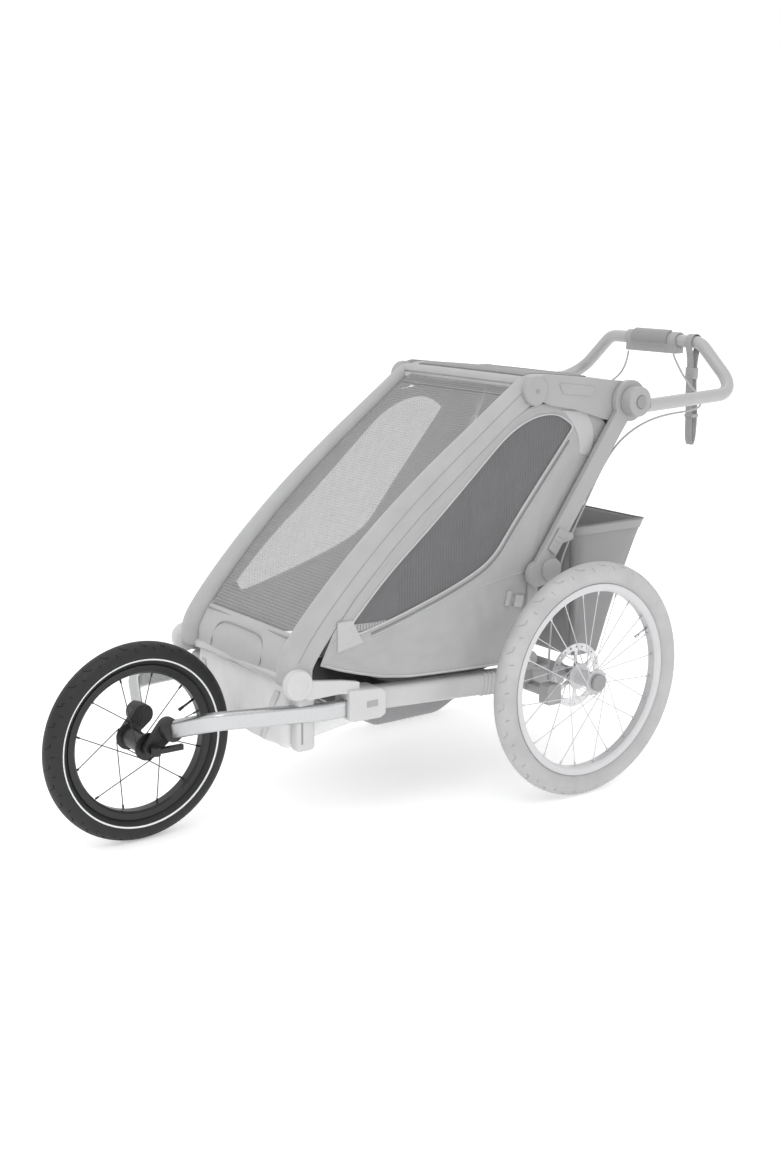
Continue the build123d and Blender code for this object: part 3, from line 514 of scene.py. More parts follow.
def tyre(name, centre, radius, color, pitches, body, slot, node):
    """Tyre with a sparse tread: a closed section spun about the axle, with grooves sunk into it."""
    settings = bpy.context.scene.trailer_wheels
    half = TYRE_HALF
    bm = bmesh.new()
    turns = [radians(angle) for angle in (
        -152, -140, -125, -110, -95, -80, -66, -54, -46, -38, -30, -22, -14, -6,
        6, 14, 22, 30, 38, 46, 54, 66, 80, 95, 110, 125, 140, 152,
    )]
    ring_r = radius - half
    section = [(half * sin(turn), ring_r + half * cos(turn)) for turn in turns]
    section += [(0.0105, radius - RIM_BELOW_TYRE), (-0.0105, radius - RIM_BELOW_TYRE)]
    verts = [bm.verts.new((0, y, r)) for y, r in section]
    loops = [bm.edges.new((first, second)) for first, second in zip(verts, verts[1:] + verts[:1])]
    columns = pitches * 8
    bmesh.ops.spin(
        bm, geom=verts + loops, cent=(0, 0, 0), axis=(0, 1, 0), dvec=(0, 0, 0),
        angle=tau, steps=columns, use_merge=True,
    )
    bmesh.ops.remove_doubles(bm, verts=bm.verts, dist=1e-6)
    step = tau / columns
    grooves = []
    for face in bm.faces:
        spot = face.calc_center_median()
        column = int((atan2(spot.x, spot.z) % tau) / step) % 8
        lean = atan2(spot.y, Vector((spot.x, 0, spot.z)).length - ring_r)
        wanted = 0 if spot.y < 0 else 4
        if column == wanted and radians(14) < abs(lean) < radians(47):
            grooves.append(face)
        elif column == wanted + 1 and radians(38) < abs(lean) < radians(47):
            grooves.append(face)
        elif column == (wanted + 4) % 8 and radians(47) < abs(lean) < radians(66):
            grooves.append(face)
    pitch = tau / pitches
    stops = (0.0, 0.034, 0.19, 0.345, 0.5, 0.534, 0.69, 0.845, 1.0)
    for vert in bm.verts:
        turn = atan2(vert.co.x, vert.co.z) % tau
        share = turn / pitch
        whole = int(share + 1e-5)
        part = min(7, int((share - whole) * 8 + 1e-3))
        inner = (share - whole) * 8 - part
        eased_part = stops[part] + (stops[part + 1] - stops[part]) * inner
        reach = Vector((vert.co.x, 0, vert.co.z)).length
        lean = atan2(vert.co.y, reach - ring_r)
        slant = 0.26 * pitch * min(1.0, abs(lean) / radians(56))
        turn = (whole + eased_part) * pitch + slant
        vert.co = Vector((reach * sin(turn), vert.co.y, reach * cos(turn)))
    bmesh.ops.recalc_face_normals(bm, faces=bm.faces)
    bmesh.ops.inset_region(
        bm, faces=grooves, thickness=0.0003, depth=-settings.groove_depth, use_even_offset=True
    )
    bmesh.ops.translate(bm, vec=centre, verts=bm.verts)
    made = place_mesh(bm, name, color)
    made.data.set_sharp_from_angle(angle=0.6)
    return fix(made, body, slot, node)


def band_ring(name, centre, low, high, y_low, y_high, material):
    """Thin flat ring on a wheel's side wall."""
    bm = bmesh.new()
    lift = 0.0005 if y_low > 0 else -0.0005
    section = [(y_low, low), (y_high, high), (y_high + lift, high), (y_low + lift, low)]
    verts = [bm.verts.new((0, y, r)) for y, r in section]
    loops = [bm.edges.new((first, second)) for first, second in zip(verts, verts[1:] + verts[:1])]
    bmesh.ops.spin(
        bm, geom=verts + loops, cent=(0, 0, 0), axis=(0, 1, 0), dvec=(0, 0, 0),
        angle=tau, steps=180, use_merge=True,
    )
    bmesh.ops.translate(bm, vec=centre, verts=bm.verts)
    return place_mesh(bm, name, material)


def valve(name, centre, reach, material, body, slot):
    """Tube valve: a stem and its cap, pointing in from the rim."""
    bm = bmesh.new()
    for radius, depth, middle_r in ((0.0026, 0.030, reach - 0.015), (0.0036, 0.010, reach - 0.031)):
        made = bmesh.ops.create_cone(
            bm, cap_ends=True, segments=16, radius1=radius, radius2=radius * 0.86, depth=depth
        )
        bmesh.ops.translate(bm, vec=(0, 0, middle_r), verts=made["verts"])
    bmesh.ops.rotate(bm, cent=(0, 0, 0), matrix=Matrix.Rotation(radians(63), 3, "Y"), verts=bm.verts)
    bmesh.ops.translate(bm, vec=centre, verts=bm.verts)
    return fix(place_mesh(bm, name, material), body, slot)


class TRAILER_OT_wheels(bpy.types.Operator):
    """Make the tyres, their reflective lines and the valves, and finish the wheels' metal"""

    bl_idname = "trailer.wheels"
    bl_label = "Wheels"

    def execute(self, context):
        settings = context.scene.trailer_wheels
        pale_rubber = rubber("pale_rubber", settings.rear_rubber)
        black_rubber = rubber("black_rubber", settings.jog_rubber, 0.58)
        rim_metal = coated_metal("rim_silver", (0.60, 0.60, 0.61))
        steel = brushed("spoke_steel", (0.66, 0.66, 0.67), 0.3, (20, 20, 20))
        black_metal = coated_metal("wheel_black", (0.012, 0.012, 0.013), 0.38)
        black_plastic = moulded("fork_black", (0.016, 0.016, 0.017), 0.5)
        tape = reflective("reflective_tape")
        for side, sign in SIDES:
            centre = middle(f"tyre_{side}")
            body = f"wheel_{side}"
            tyre(f"tread_tyre_{side}", centre, REAR_R, pale_rubber, REAR_PITCHES, body, "grey_tyre",
                 f"tyre_{side}")
            valve(f"valve_{side}", centre, REAR_R - VALVE_BELOW_TYRE, steel, body, "steel")
        paint(rim_metal, *both("rim"), *both("hub"))
        paint(steel, *both("spokes"), *both("rotor"))
        tyre("tread_tyre_jog", JOG_CENTRE, JOG_R, black_rubber, JOG_PITCHES, "jog_wheel", "black_tyre",
             "jog_tyre")
        valve("valve_jog", JOG_CENTRE, JOG_R - VALVE_BELOW_TYRE, black_metal, "jog_wheel", "black_metal")
        ring_r = JOG_R - TYRE_HALF
        low = settings.stripe_radius - STRIPE_WIDTH / 2
        high = low + STRIPE_WIDTH
        for side, sign in SIDES:
            y_low = sign * (TYRE_HALF**2 - (low - ring_r) ** 2) ** 0.5
            y_high = sign * (TYRE_HALF**2 - (high - ring_r) ** 2) ** 0.5
            stripe = band_ring(f"stripe_{side}", JOG_CENTRE, low, high, y_low, y_high, tape)
            fix(stripe, "jog_wheel", "black_tyre")
        paint(black_metal, "jog_rim", "jog_hub", "jog_spokes", "jog_axle")
        softened("jog_dropouts", 0.002, black_plastic)
        softened("quick_release_lever", 0.0015, black_plastic)
        return {"FINISHED"}


# ---------------------------------------------------------------- hard parts


class TRAILER_OT_hardware(bpy.types.Operator):
    """Finish the frame, the mouldings, the brake and the jogging arms"""

    bl_idname = "trailer.hardware"
    bl_label = "Hardware"

    def execute(self, context):
        settings = context.scene.trailer_hardware
        tube_grey = coated_metal("frame_tube", settings.frame_grey)
        plastic = moulded("grey_moulding", [part * 0.71 for part in settings.frame_grey])
        dark_plastic = moulded("shadow_moulding", [part * 0.55 for part in settings.frame_grey])
        pale = moulded("pale_moulding", [part * 0.78 for part in settings.pale], 0.5)
        aluminium = brushed("bright_aluminium", (0.53, 0.535, 0.54))
        steel = brushed("screw_steel", (0.55, 0.55, 0.56), 0.3, (8, 8, 8))
        paint(tube_grey, *both("side_rail"), "front_cross_tube", "axle_beam", "front_hoop")
        paint(coated_metal("bar_tube", [part * 0.82 for part in settings.frame_grey]), "handlebar_tube")
        paint(brushed("hoop_rod", (0.82, 0.82, 0.83), 0.2), "bag_hoop")
        paint(aluminium, *both("jog_arm"))
        for name in ("upright", "lower_upright", "fold_latch", "pivot_hub", "brake_caliper"):
            for node in both(name):
                softened(node, settings.edge, plastic)
        for node in both("hinge_housing"):
            softened(node, settings.edge * 1.4, plastic)
        for node in both("arm_socket") + both("corner_joint"):
            softened(node, settings.edge, pale)
        for node in both("pivot_button") + both("release_button"):
            softened(node, 0.0008, dark_plastic)
        softened("brake_housing", 0.002, plastic)
        softened("brake_lever", 0.001, dark_plastic)
        for side, sign in SIDES:
            screw = disc(f"boss_screw_{side}", at(-97, sign * 238, 287), 0.0062, 0.006, steel, 6)
            fix(screw, "frame", "steel")
            ball = bmesh.new()
            bmesh.ops.create_uvsphere(ball, u_segments=48, v_segments=24, radius=0.0305)
            bmesh.ops.scale(ball, vec=(1, 0.62, 1), verts=ball.verts)
            bmesh.ops.translate(ball, vec=at(-655.5, sign * 211, 324), verts=ball.verts)
            fix(place_mesh(ball, f"corner_ball_{side}", pale), "frame", "grey_plastic")
            for name, x, y, z, size, finish, edge in (
                ("foot_corner", -629, 190, 240, (0.042, 0.030, 0.112), pale, 0.009),
                ("foot_corner_slot", -640, 205.2, 232, (0.004, 0.0016, 0.062), dark_plastic, 0.0007),
                ("socket_window", -492, 228.4, 262, (0.026, 0.0016, 0.012), plastic, 0.0007),
            ):
                piece = block(f"{name}_{side}", at(x, sign * y, z), size, finish, edge)
                fix(piece, "frame", "grey_plastic")
            grip_latch(side, sign, plastic)
            housing_badge(side, sign, plastic, dark_plastic)
        return {"FINISHED"}


def grip_latch(side, sign, material):
    """Three finger slots across the fold latch."""
    centre = middle(f"fold_latch_{side}")
    lean = Matrix.Rotation(-atan2(268, 191), 3, "Y")
    face = sign * (max(abs(corner.y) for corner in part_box(f"fold_latch_{side}")) + 0.0003)
    for count in (-1, 0, 1):
        step = lean @ Vector((count * 0.011, 0, 0))
        spot = Vector((centre.x + step.x, face, centre.z + step.z))
        slot = block(f"latch_rib_{side}_{count + 2}", spot, (0.004, 0.0014, 0.017), material, 0.0006, lean)
        fix(slot, f"latch_{side}", "grey_plastic")


def housing_badge(side, sign, raised, dark):
    """Small raised panel on the hinge housing, and the round knuckle at its front."""
    outline = [(-26, 853), (78, 840), (66, 820), (-14, 830)]
    bm = bmesh.new()
    face = bm.faces.new([bm.verts.new(at(x, sign * 221.6, z)) for x, z in outline])
    made = bmesh.ops.extrude_face_region(bm, geom=[face])
    moved = [item for item in made["geom"] if isinstance(item, bmesh.types.BMVert)]
    bmesh.ops.translate(bm, vec=(0, sign * 0.0018, 0), verts=moved)
    bmesh.ops.recalc_face_normals(bm, faces=bm.faces)
    uprights = [item for item in bm.edges if abs(item.verts[0].co.y - item.verts[1].co.y) > 0.001]
    round_edges(bm, uprights, 0.005, 4)
    fronts = [item for item in bm.faces if len(item.verts) > 8 and item.normal.y * sign > 0.9]
    bmesh.ops.inset_region(bm, faces=fronts, thickness=0.0022, depth=-0.0010)
    fix(place_mesh(bm, f"housing_panel_{side}", raised, smooth=False), "roof", "grey_plastic")
    knuckle = disc(f"roof_knuckle_{side}", at(-86, sign * 216.5, 840), 0.030, 0.021, raised, 48, 0.006)
    fix(knuckle, "roof", "grey_plastic")
    pin = disc(f"roof_pin_{side}", at(-86, sign * 227.2, 840), 0.0042, 0.002, dark, 20, 0.0005)
    fix(pin, "roof", "grey_plastic")


# ---------------------------------------------------------------- front cover

PILLAR = Route([at(-655.5, 0, 318), at(-651, 0, 382), at(-421, 0, 615), at(-93.5, 0, 849)])
COVER_SIDE = 212.0


def off_pillar(share, y, rise):
    """Point of the front cover: a share up the pillar, a distance across and a rise off the pillar."""
    way = PILLAR.way(share)
    spot = PILLAR.at(share)
    return Vector((spot.x - way.z * rise / 1000, y / 1000, spot.z + way.x * rise / 1000))


def screen_half(share):
    """Half the front screen's width, which grows towards the roof."""
    return 152 + 26 * share


class TRAILER_OT_front_cover(bpy.types.Operator):
    """Make the padded sleeves, the front screen, its lower band and the seams"""

    bl_idname = "trailer.front_cover"
    bl_label = "Front cover"

    def execute(self, context):
        settings = context.scene.trailer_fabric
        sleeve_cloth = woven("sleeve_cloth", settings.sleeve)
        screen_cloth = mesh_cloth("screen_mesh", settings.screen, 0.50)
        pale_cloth = woven("front_band_cloth", [part * 1.05 for part in settings.sleeve])
        piping = rubber("seam_piping", [part * 0.72 for part in settings.sleeve])
        dark_edge = rubber("dark_hem", (0.24, 0.24, 0.24))
        length = PILLAR.length

        for side, sign in SIDES:
            def sleeve(u, v, sign=sign):
                inner = screen_half(v)
                middle_y, half = (COVER_SIDE + inner) / 2, (COVER_SIDE - inner) / 2
                quilt = 0.7 * noise.noise((v * 9, u * 2, 3 + sign))
                if u < 0.66:
                    turn = pi * (1 - u / 0.66)
                    rise = 1 + (18 + quilt) * sin(turn) ** 0.8
                    return off_pillar(v, sign * (middle_y + half * cos(turn)), rise)
                drop = (u - 0.66) / 0.34
                return off_pillar(v, sign * (COVER_SIDE + 0.4 * drop), 1 - 33 * drop)

            piece = skin(f"pillar_sleeve_{side}", sleeve, 26, 90, 0.14, length, sleeve_cloth,
                         settings.cloth_thickness)
            fix(piece, "front_frame", "fabric", "front_cover")
            for place_name, offset in (("inner", 0.0), ("outer", COVER_SIDE)):
                line = []
                for step in range(25):
                    share = 0.06 + 0.92 * step / 24
                    across = offset or screen_half(share)
                    step_out, rise = (0, 3) if offset else (1, 3.5)
                    line.append(off_pillar(share, sign * (across + step_out), rise))
                seam = tube(f"sleeve_seam_{place_name}_{side}", line, 0.0013, piping, 6)
                fix(seam, "front_frame", "fabric")

        bottom, top = 0.105, 0.985

        def screen(u, v):
            share = bottom + (top - bottom) * v
            half = screen_half(share)
            sag = 4 * sin(pi * u) * sin(pi * v)
            return off_pillar(share, half * (2 * u - 1), 2.5 - sag)

        piece = skin("front_screen", screen, 40, 80, 0.33, length * (top - bottom), screen_cloth)
        fix(piece, "front_frame", "fabric")

        def lower_band(u, v):
            share = (bottom + 0.012) * v
            half = screen_half(share)
            fold = 1.5 * noise.noise((u * 5, v * 2, 7)) + 5 * sin(pi * u)
            return off_pillar(share, half * (2 * u - 1), 4 + fold)

        piece = skin("front_band", lower_band, 40, 14, 0.30, length * bottom, pale_cloth,
                     settings.cloth_thickness)
        fix(piece, "front_frame", "fabric")
        hem = [off_pillar(0.004, 152 * (step / 8 - 1), 7) for step in range(17)]
        fix(tube("front_hem", hem, 0.0022, dark_edge, 8), "front_frame", "fabric")
        hem = [off_pillar(0.955, 172 * (step / 10 - 1), 3.2) for step in range(21)]
        fix(tube("screen_top_hem", hem, 0.0017, piping, 6), "front_frame", "fabric")
        frame_line = [(-92, 0.02), (-100, 0.085), (0, 0.088), (100, 0.085), (92, 0.02)]
        line = [off_pillar(share, y, 11.5) for y, share in frame_line]
        fix(tube("band_seam", line, 0.0012, piping, 6), "front_frame", "fabric")
        sill = [off_pillar(bottom, 150 * (step / 10 - 1), 6.5) for step in range(21)]
        fix(tube("screen_sill", sill, 0.0018, piping, 8), "front_frame", "fabric")

        def brow(u, v):
            y = COVER_SIDE * (2 * u - 1)
            turn = v * pi * 0.9
            edge = 1 - max(0.0, abs(2 * u - 1) - 0.9) * 4
            spot = off_pillar(1.0, y, 0)
            return spot + Vector((-0.010 * cos(turn) - 0.006, 0, (0.004 + 0.014 * sin(turn)) * edge))

        piece = skin("screen_brow", brow, 50, 12, 0.424, 0.06, sleeve_cloth, settings.cloth_thickness)
        fix(piece, "front_frame", "fabric")
        return {"FINISHED"}


# ---------------------------------------------------------------- side panels

PANEL_LOW = Route([at(x, 0, z) for x, z in (
    (-604, 352), (-548, 330), (-434, 298), (-280, 287), (-120, 279), (-66, 296), (-64, 380), (-62, 470),
    (-30, 530), (30, 616), (125, 750))], 1)
PANEL_HIGH = Route([at(x, 0, z) for x, z in (
    (-604, 353), (-566, 430), (-398, 592), (-250, 702), (-110, 806), (-44, 814), (25, 800), (103, 776),
    (125, 751))], 1)
WINDOW_LOW = Route([at(x, 0, z) for x, z in (
    (-541, 415), (-532, 399), (-478, 409), (-384, 434), (-300, 459), (-219, 489), (-176, 518),
    (-145, 559), (-95, 619), (-51, 670), (-7, 721), (27, 761))], 2)
WINDOW_HIGH = Route([at(x, 0, z) for x, z in (
    (-541, 416), (-450, 508), (-333, 600), (-193, 722), (-152, 756), (-106, 780), (-63, 791),
    (-14, 790), (27, 761))], 2)
PANEL_LINE = 213.9


def panel_push(x, z):
    """How far the cloth leaves its plane: a slack belly above the rail and folds beside the wheel."""
    along, up = (x - AXLE.x) * 1000, z * 1000
    belly = 4.5 * bump_at(along, -330, 130) * bump_at(up, 360, 60)
    folds = 1.6 * bump_at(along, -190, 60) * bump_at(up, 380, 70) * sin((along + 0.35 * up) / 8.5)
    crumple = 1.1 * noise.noise((along / 70, up / 45, 2.0)) * bump_at(up, 370, 120)
    near = min(1.0, max(0.0, (-130 - along) / 60))
    return (belly + folds + crumple) * near - 0.6 * (1 - near)


def on_panel(sign, x, z, lift=0.0):
    return Vector((x, sign * (PANEL_LINE + panel_push(x, z) + lift) / 1000, z))


def blend_panel(piece):
    """Bakes the panel piece's placement into its mesh."""
    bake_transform(piece)


class TRAILER_OT_side_panels(bpy.types.Operator):
    """Make both side panels with their windows, piping, zips, straps and buckles"""

    bl_idname = "trailer.side_panels"
    bl_label = "Side panels"

    def execute(self, context):
        settings = context.scene.trailer_fabric
        cloth = woven("panel_cloth", settings.panel)
        # The side windows are one mesh in two copies whose cover differs by side. The near (left) window's
        # denser cover of dark yarn is painted shade, so it looks dark from outside. The far (right) window
        # keeps less cover, so it looks bright from inside.
        glasses = {
            "left": mesh_cloth("window_mesh", settings.window, 0.80),
            "right": mesh_cloth("far_window_mesh_lit_copy", settings.window, 0.56),
        }
        piping = rubber("panel_piping", [part * 1.25 for part in settings.panel])
        zip_dark = rubber("zip_tape", [part * 0.55 for part in settings.panel])
        tape = webbing("panel_webbing", (0.36, 0.36, 0.365))
        plastic = moulded("buckle_plastic", (0.46, 0.46, 0.465))
        flap_cloth = woven("flap_cloth", [part * 1.22 for part in settings.panel])
        left, right = PANEL_LOW.points[0].x, PANEL_LOW.points[-1].x
        tip, heel = WINDOW_LOW.points[0].x, WINDOW_LOW.points[-1].x
        for side, sign in SIDES:
            def seam_height(x, line):
                """The window's edge, and beyond its ends a line on to the panel's own ends."""
                low, high = height_at(PANEL_LOW, x), height_at(PANEL_HIGH, x)
                if tip <= x <= heel:
                    return min(max(height_at(line, x), low), high)
                if x < tip:
                    share = (x - left) / (tip - left)
                    return low + (high - low) * 0.5 * (1 - share) + (height_at(line, tip) - low) * share
                share = (right - x) / (right - heel)
                return min(high, max(low, low + (height_at(line, heel) - low) * share))

            def lower(u, v, sign=sign):
                x = left + (right - left) * u
                low = height_at(PANEL_LOW, x)
                return on_panel(sign, x, low + (seam_height(x, WINDOW_LOW) - low) * v)

            def upper(u, v, sign=sign):
                x = left + (right - left) * u
                low = seam_height(x, WINDOW_HIGH)
                return on_panel(sign, x, low + (height_at(PANEL_HIGH, x) - low) * v)

            def pane(u, v, sign=sign):
                x = tip + (heel - tip) * u
                low, high = height_at(WINDOW_LOW, x), height_at(WINDOW_HIGH, x)
                return on_panel(sign, x, low + (high - low) * v, -0.8)

            for name, place, rows in (("lower", lower, 44), ("upper", upper, 16)):
                piece = skin(f"panel_{name}_{side}", place, 150, rows, 0.73, 0.3, cloth,
                             settings.cloth_thickness)
                blend_panel(piece)
                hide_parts(f"side_panel_{side}")
            piece = skin(f"window_{side}", pane, 120, 40, 0.57, 0.3, glasses[side])
            blend_panel(piece)

            outline = [WINDOW_LOW.at(step / 40) for step in range(40)]
            outline += [WINDOW_HIGH.at(1 - step / 30) for step in range(30)]
            rim = [on_panel(sign, point.x, point.z, 1.2) for point in outline]
            piece = tube(f"window_piping_{side}", rim, 0.0021, piping, 8, closed=True)
            blend_panel(piece)
            zips = (("zip", 9, 0.0017, zip_dark), ("zip_edge", 14, 0.0012, piping))
            for name, shift, radius, material in zips:
                line = []
                for step in range(4, 47):
                    share = step / 48
                    way = WINDOW_LOW.way(share)
                    spot = WINDOW_LOW.at(share) + Vector((way.z, 0, -way.x)) * shift / 1000
                    line.append(on_panel(sign, spot.x, spot.z, 1.1))
                piece = tube(f"window_{name}_{side}", line, radius, material, 6)
                blend_panel(piece)
            self.straps(side, sign, tape, plastic, piping, flap_cloth)
        return {"FINISHED"}

    @staticmethod
    def straps(side, sign, tape, plastic, piping, flap_cloth):
        """Short strap beside the wheel with its buckle, the seams and the two cloth flaps."""
        def strap(u, v):
            x = at(-142 + 52 * u, 0, 0).x
            z = (420 - 16 * u + 22 * (v - 0.5)) / 1000
            return on_panel(sign, x, z, 1.6)

        piece = skin(f"panel_strap_{side}", strap, 16, 3, 0.055, 0.022, tape, 0.0012)
        fix(piece, "frame", "webbing")
        lean = Matrix.Rotation(radians(14), 3, "Y")
        for name, x, z, lift, size, edge in (
            ("buckle", -141, 0.420, 3.2, (0.010, 0.006, 0.032), 0.002),
            ("keeper", -112, 0.411, 3.0, (0.022, 0.005, 0.026), 0.0018),
        ):
            spot = on_panel(sign, at(x, 0, 0).x, z, lift)
            piece = block(f"strap_{name}_{side}", spot, size, plastic, edge, lean)
            fix(piece, "frame", "grey_plastic")
        seam = []
        for step in range(20):
            x = at(-250 + 178 * step / 19, 0, 0).x
            seam.append(on_panel(sign, x, (452 + 22 * step / 19) / 1000, 1.0))
        fix(tube(f"panel_seam_{side}", seam, 0.0012, piping, 6), "frame", "fabric")

        def tip_flap(u, v):
            x = at(-566 + 62 * u * (1 - 0.45 * v), 0, 0).x
            z = (372 + 60 * v + 28 * u * (1 - v) * 0.4) / 1000
            return on_panel(sign, x, z, 1.6)

        piece = skin(f"tip_flap_{side}", tip_flap, 12, 12, 0.06, 0.06, flap_cloth, 0.0012)
        blend_panel(piece)

        def rear_flap(u, v):
            bow = 16 * sin(pi * v)
            x = at(-8 + 54 * v + bow + (70 - 40 * v) * u, 0, 0).x
            z = (797 - 96 * v - 6 * u) / 1000
            return on_panel(sign, x, z, 0.9)

        piece = skin(f"rear_flap_{side}", rear_flap, 12, 24, 0.07, 0.10, flap_cloth, 0.0012)
        fix(piece, "front_frame", "fabric")
        hem = []
        for step in range(26):
            x = at(-596 + 500 * step / 25, 0, 0).x
            hem.append(on_panel(sign, x, height_at(PANEL_LOW, x) + 0.004, 1.2))
        fix(tube(f"panel_hem_{side}", hem, 0.0016, piping, 6), "frame", "fabric")


# ---------------------------------------------------------------- roof

class TRAILER_OT_roof(bpy.types.Operator):
    """Make the roof's cloth, its mesh inset and its edge piping"""

    bl_idname = "trailer.roof"
    bl_label = "Roof"

    def execute(self, context):
        settings = context.scene.trailer_fabric
        cloth = woven("roof_cloth", settings.sleeve)
        shade = woven("roof_mesh", [part * 0.52 for part in settings.screen])
        piping = rubber("roof_piping", [part * 0.8 for part in settings.sleeve])
        line = Route([at(-84, 0, 862), at(-60, 0, 869), at(40, 0, 857), at(140, 0, 846), at(192, 0, 838),
                      at(203, 0, 826), at(206, 0, 806)], 3)

        def roof(u, v):
            spot = line.at(v)
            side = 2 * u - 1
            crown = 5 * (1 - side**4) * sin(pi * min(1, v * 1.1)) ** 0.5 if v < 0.9 else 0
            drop = -6 * max(0.0, abs(side) - 0.94) / 0.06
            return Vector((spot.x, side * 0.2140, spot.z + (crown + drop) / 1000))

        piece = skin("roof_skin", roof, 60, 50, 0.43, line.length, cloth, settings.cloth_thickness)
        fix(piece, "roof", "fabric", "roof_cover")

        def inset(u, v):
            spot = roof(0.10 + 0.80 * u, 0.02 + 0.56 * v)
            return spot + Vector((0, 0, 0.0016))

        fix(skin("roof_mesh_inset", inset, 40, 16, 0.33, 0.12, shade), "roof", "fabric")
        for name, share in (("front", 0.03), ("rear", 0.58)):
            seam = [roof(0.10 + 0.80 * step / 20, share) + Vector((0, 0, 0.002)) for step in range(21)]
            fix(tube(f"roof_seam_{name}", seam, 0.0014, piping, 6), "roof", "fabric")
        for side, sign in SIDES:
            edge = [roof(0.5 + sign * 0.48, step / 30) + Vector((0, 0, 0.0012)) for step in range(27)]
            fix(tube(f"roof_seam_{side}", edge, 0.0012, piping, 6), "roof", "fabric")
        return {"FINISHED"}


# ---------------------------------------------------------------- foot box and floor


class TRAILER_OT_tub(bpy.types.Operator):
    """Make the foot box, the floor tub and the straps over them"""

    bl_idname = "trailer.tub"
    bl_label = "Foot box and floor"

    def execute(self, context):
        settings = context.scene.trailer_fabric
        pale = woven("foot_cloth", context.scene.trailer_hardware.pale, 0.7)
        belly_cloth = woven("belly_cloth", settings.belly)
        tape = webbing("foot_webbing", (0.60, 0.60, 0.605))
        plastic = moulded("foot_buckle", (0.55, 0.55, 0.555))
        profile = Route([at(-648, 0, 316), at(-652, 0, 300), at(-657, 0, 210), at(-658, 0, 186),
                         at(-640, 0, 181), at(-615, 0, 188), at(-604, 0, 204)], 3)

        def foot(u, v):
            spot = profile.at(v)
            side = 2 * u - 1
            edge = max(0.0, abs(side) - 0.86) / 0.14
            tuck = 14 * edge**2.4
            ripple = 1.2 * sin(u * 38 + v * 9) * sin(pi * v)
            crease = 2.2 * noise.noise((u * 7, v * 5, 1.5)) * (1 - edge) + ripple * (1 - edge)
            bulge = 2.0 * (1 - side**2) * sin(pi * v) + crease
            way = profile.way(v)
            out = Vector((-abs(way.z), 0, -max(way.x, 0))).normalized()
            return Vector((spot.x, side * 0.176, spot.z)) + out * (bulge - tuck) / 1000

        piece = skin("foot_front", foot, 60, 40, 0.36, profile.length, pale, settings.cloth_thickness)
        fix(piece, "frame", "fabric", "foot_panel")
        for side, sign in SIDES:
            def cheek(u, v, sign=sign):
                front = profile.at(v * 0.86)
                rear_x = at(-601, 0, 0).x
                rear_z = 0.316 + (0.204 - 0.316) * v
                spot = Vector((front.x + 0.012 * (1 - u), 0, front.z)).lerp(Vector((rear_x, 0, rear_z)), u)
                dip = 2.0 * sin(pi * u) * noise.noise((u * 3, v * 4, sign * 2.0))
                return Vector((spot.x, sign * (0.1765 + dip / 1000), spot.z))

            fix(skin(f"foot_cheek_{side}", cheek, 12, 30, 0.06, 0.13, pale, settings.cloth_thickness),
                "frame", "fabric")

            def strap(u, v, sign=sign):
                share = 0.12 + 0.55 * u
                spot = foot(0.5 + sign * (0.40 - 0.13 * u) + (v - 0.5) * 0.045, share)
                return spot + Vector((-0.0022, 0, 0))

            fix(skin(f"foot_strap_{side}", strap, 24, 3, 0.10, 0.016, tape, 0.0012), "frame", "webbing")
            spot = foot(0.5 + sign * 0.34, 0.40) + Vector((-0.004, 0, 0))
            buckle = block(f"foot_buckle_{side}", spot, (0.006, 0.024, 0.017), plastic, 0.0018)
            fix(buckle, "frame", "grey_plastic")

        def tub(u, v, first, last, depth):
            """Under-floor cloth between two places along the frame, hung from the rails' inner edges."""
            x = first + (last - first) * v
            turn = 2 * u - 1
            flat = min(1.0, abs(turn) / 0.78)
            rise = max(0.0, abs(turn) - 0.78) / 0.22
            y = (146 * flat + 30 * rise) * (1 if turn > 0 else -1)
            low_z = depth(x)
            sag = -2.4 * (1 - flat**2) + 0.8 * noise.noise((u * 6, x / 80, 4))
            return at(x, y, max(low_z + (236 - low_z) * rise**1.2 + sag * (1 - rise), 178.5))

        def front_depth(x):
            return 184 + 20 * min(1.0, (x + 603) / 150)

        def hump(x):
            dip = min(1.0, max(0.0, (x + 460) / 40)) * min(1.0, max(0.0, (-190 - x) / 90))
            return 212 - 30 * (dip * dip * (3 - 2 * dip))

        piece = skin("belly_front", lambda u, v: tub(u, v, -603, -455, front_depth), 48, 24, 0.44, 0.15,
                     pale, settings.cloth_thickness)
        fix(piece, "frame", "fabric", "floor_pan")
        piece = skin("belly", lambda u, v: tub(u, v, -460, -44, hump), 48, 60, 0.44, 0.42,
                     belly_cloth, settings.cloth_thickness)
        fix(piece, "frame", "fabric", "floor_pan")
        return {"FINISHED"}


# ---------------------------------------------------------------- seat


